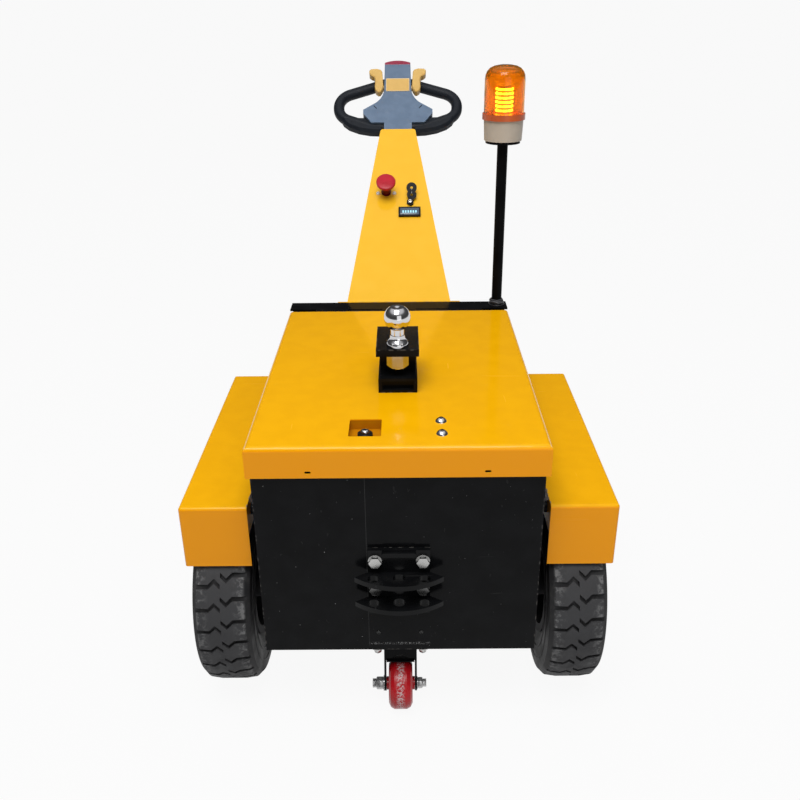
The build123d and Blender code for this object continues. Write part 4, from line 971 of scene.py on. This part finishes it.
# %% Vents in the head's wings
ARM_END_UP = 0.546
HEAD_OUT = -0.003
VENT_TURN = radians(-38)
for side, sign in (("left", -1), ("right", 1)):
    vent = block("head_vent", (0.0022, 0.013, 0.0016))
    step_top(vent, 0.0005, -0.0008)
    done(vent, black_plastic, bevel=0.0003)
    vent.data.transform(Matrix.Rotation(sign * VENT_TURN, 4, "Z"))
    set_down(vent, f"head_vent_{side}", [on_arm(sign * 0.063, ARM_END_UP + 0.082, HEAD_OUT)], "chassis",
             turn=ON_SLOPE)

# %% [markdown]
# The label sits in a raised rim of the moulding. A flat block with its top inset and pushed down
# leaves just that rim standing round the label.

# %% Rim round the label
label_pale = finish("label_rim_pale", (0.78, 0.6, 0.34), (0.72, 0.54, 0.28), (0.3, 0.4), grain_scale=900,
                    bump=0.05)
rim = block("label_rim", (0.0655, 0.0465, 0.003))
step_top(rim, 0.0016, -0.0016)
done(rim, label_pale, bevel=0.0004)
set_down(rim, "label_rim", [on_arm(0, ARM_END_UP + 0.162, HEAD_OUT + 0.0001)], "chassis",
         turn=ON_SLOPE)

# %% [markdown]
# ## Castor guards
# A curved dust guard sits inside each fork, close behind the wheel's top. It is cut out of a tube: the
# side faces of a cylinder are kept over about a sixth of a turn, and a solidify modifier thickens them.

# %% Guards over the castor wheels
GUARD_RADIUS = 0.0575
GUARD_LOW = GUARD_RADIUS * cos(radians(62))
GUARD_FRONT = -0.003
for end in ENDS:
    guard = begin("castor_guard", bpy.ops.mesh.primitive_cylinder_add, vertices=96, radius=GUARD_RADIUS,
                  depth=0.055, end_fill_type="NOTHING", rotation=(0, pi / 2, 0))
    bpy.ops.object.transform_apply(rotation=True)
    pick(guard, lambda centre, normal: centre.z < GUARD_LOW or centre.y < GUARD_FRONT)
    bpy.ops.mesh.delete(type="FACE")
    bpy.ops.object.mode_set(mode="OBJECT")
    sheet = guard.modifiers.new("sheet", "SOLIDIFY")
    sheet.thickness = 0.0015
    sheet.offset = 1
    bpy.ops.object.modifier_apply(modifier=sheet.name)
    done(guard, black_plastic)
    set_down(guard, f"castor_guard_{end}", [middle(f"castor_wheel_{end}")], f"castor_swivel_{end}")

# %% [markdown]
# ## Wheel furniture
# Seen from the side, each wheel has five nuts on its disc, a turned cap over the hub and a valve, all on
# the outer face. Two thin moulded rings run round each sidewall. All of them turn with the wheel.

# %% Wheel nuts, hub cap, valve and sidewall rings
NUT_CIRCLE = 0.066
NUT_ANGLES = [radians(36 + 72 * step) for step in range(5)]
DISC_OUT = 0.015
CAP_OUT = 0.034
VALVE_UP = 0.085
RING_RADII = (0.142, 0.165)
RING_OUT = 0.0553
for side, sign in (("left", -1), ("right", 1)):
    body = f"wheel_{side}"
    outward = (sign, 0, 0)
    hub = middle(f"tyre_{side}")
    disc_x = hub.x + sign * DISC_OUT
    spread = [(disc_x, hub.y + NUT_CIRCLE * cos(turn), hub.z + NUT_CIRCLE * sin(turn)) for turn in NUT_ANGLES]
    nut = hex_nut("wheel_nut", 0.019, 0.011, (0.013, 0.002), 0.004, zinc)
    set_down(nut, f"wheel_nut_{side}", spread, body, facing=outward)
    cap = standing("hub_cap", 48, 0.03, 0.004)
    draw_up(cap, [(0.004, 0.9), (0.003, 0.72), (0.001, 0.6)])
    done(cap, black_plastic, angle=25)
    set_down(cap, f"hub_cap_{side}", [(hub.x + sign * CAP_OUT, hub.y, hub.z)], body,
             facing=outward)
    valve = standing("valve", 20, 0.0042, 0.018)
    step_top(valve, 0.0008, 0.011)
    done(valve, black_plastic, bevel=0.0004)
    set_down(valve, f"valve_{side}", [(disc_x, hub.y, hub.z + VALVE_UP)], body, facing=outward)
    rubber = solids[f"tyre_{side}"].data.materials[0]
    ring_places = [(hub.x + sign * out, hub.y, hub.z) for out in (RING_OUT, -RING_OUT)]
    for ring_radius in RING_RADII:
        ring = begin("sidewall_ring", bpy.ops.mesh.primitive_torus_add, major_radius=ring_radius,
                     minor_radius=0.0016, major_segments=120, minor_segments=8)
        done(ring, rubber)
        set_down(ring, f"sidewall_ring_{side}_{int(ring_radius * 1000)}", ring_places, body,
                 facing=outward)

# %% [markdown]
# ## Under the lid
# When the lid is raised, the batteries show. Each has a stepped cover, a row of filler caps and two lead
# posts, and a flat link joins two of the posts. The motor behind them has cooling fins.

# %% Battery covers, caps, posts and link
CELL_IN = 0.086
POST_IN = 0.03
CAPS = 6
CAP_PITCH = 0.04
low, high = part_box("battery_pack")
cell_xs = (low.x + CELL_IN, high.x - CELL_IN)
cell_y = (low.y + high.y) / 2
post_ys = (low.y + POST_IN, high.y - POST_IN)
cover_grey = finish("battery_cover", (0.085, 0.09, 0.095), (0.065, 0.07, 0.075), (0.4, 0.55),
                    grain_scale=1000, bump=0.25, dusty=(24, 0.45, 0.8, 1.0, 0.45, (0.25, 0.23, 0.2)))
lead = finish("lead_post", (0.42, 0.42, 0.43), (0.32, 0.32, 0.33), (0.4, 0.55), grain_scale=600, bump=0.2,
              Metallic=0.9)
cover = block("battery_cover", (0.168, high.y - low.y - 0.006, 0.014), lift=0.007)
step_top(cover, 0.014, 0.006)
bpy.ops.mesh.inset(thickness=0.03)
push(-0.003)
done(cover, cover_grey, bevel=0.002)
set_down(cover, "battery_cover", [(x, cell_y, high.z) for x in cell_xs], "chassis")
filler = standing("filler_cap", 24, 0.0115, 0.006)
step_top(filler, 0.003, -0.0015)
done(filler, black_plastic, bevel=0.0006)
cap_ys = [cell_y + (step - 2.5) * CAP_PITCH for step in range(CAPS)]
set_down(filler, "filler_cap", [(x, y, high.z + 0.017) for x in cell_xs for y in cap_ys], "chassis")
post = standing("lead_post", 24, 0.0095, 0.014)
step_top(post, 0.002, 0.007)
done(post, lead, bevel=0.0006)
set_down(post, "lead_post", [(x, y, high.z + 0.02) for x in cell_xs for y in post_ys], "chassis")
link = block("battery_link", (cell_xs[1] - cell_xs[0] + 0.03, 0.024, 0.003))
done(link, lead, bevel=0.0012)
set_down(link, "battery_link", [(0, post_ys[0], high.z + 0.0355)], "chassis")

# %% Fins of the motor
FINS = 6
FIN_PITCH = 0.012
fin = begin("motor_fin", bpy.ops.mesh.primitive_cylinder_add, vertices=64, radius=0.0615, depth=0.004)
pick(fin, end_face)
bpy.ops.mesh.inset(thickness=0.004)
done(fin, casting, bevel=0.0008)
axle = middle("tyre_left")
set_down(fin, "motor_fin", [(0, axle.y + 0.082 + FIN_PITCH * step, axle.z + 0.046) for step in range(FINS)],
         "chassis", facing=(0, 1, 0))

# %% [markdown]
# ## The floor
# The floor is the only thing here that isn't part of the machine. It starts as one plane and is
# subdivided, so that it is a real surface with room round the wheels.

# %% Floor
WHITE_SHARE = 0.93
bpy.ops.object.select_all(action="DESELECT")
bpy.ops.mesh.primitive_plane_add(size=900, location=(0, 0, -0.0005))
floor = bpy.context.object
floor.name = "pale_floor"
bpy.ops.object.mode_set(mode="EDIT")
bpy.ops.mesh.select_all(action="SELECT")
bpy.ops.mesh.subdivide(number_cuts=6)
bpy.ops.object.mode_set(mode="OBJECT")
floor_white = bpy.data.materials.new("floor_white")
floor_white.use_nodes = True
tree = floor_white.node_tree
shader = tree.nodes["Principled BSDF"]
shader.inputs["Roughness"].default_value = 0.9
clouds = place_group(tree, grain, scale=60.0)["Broad"]
tree.links.new(tone(tree, clouds, (0.48, 0.48, 0.48, 1), (0.52, 0.52, 0.52, 1)), shader.inputs["Base Color"])
rays = put(tree, "ShaderNodeLightPath").outputs
seen = sums(tree, "MAXIMUM", sums(tree, "MAXIMUM", rays["Is Camera Ray"], rays["Is Glossy Ray"]),
            rays["Is Transmission Ray"])
glow = put(tree, "ShaderNodeEmission", {"Color": (1, 1, 1, 1), "Strength": 1.0})
mixed = put(tree, "ShaderNodeMixShader", {"Fac": sums(tree, "MULTIPLY", seen, WHITE_SHARE)})
tree.links.new(shader.outputs["BSDF"], mixed.inputs[1])
tree.links.new(glow.outputs["Emission"], mixed.inputs[2])
tree.links.new(mixed.outputs["Shader"], tree.nodes["Material Output"].inputs["Surface"])
floor.data.materials.append(floor_white)
print("floor:", floor.name)
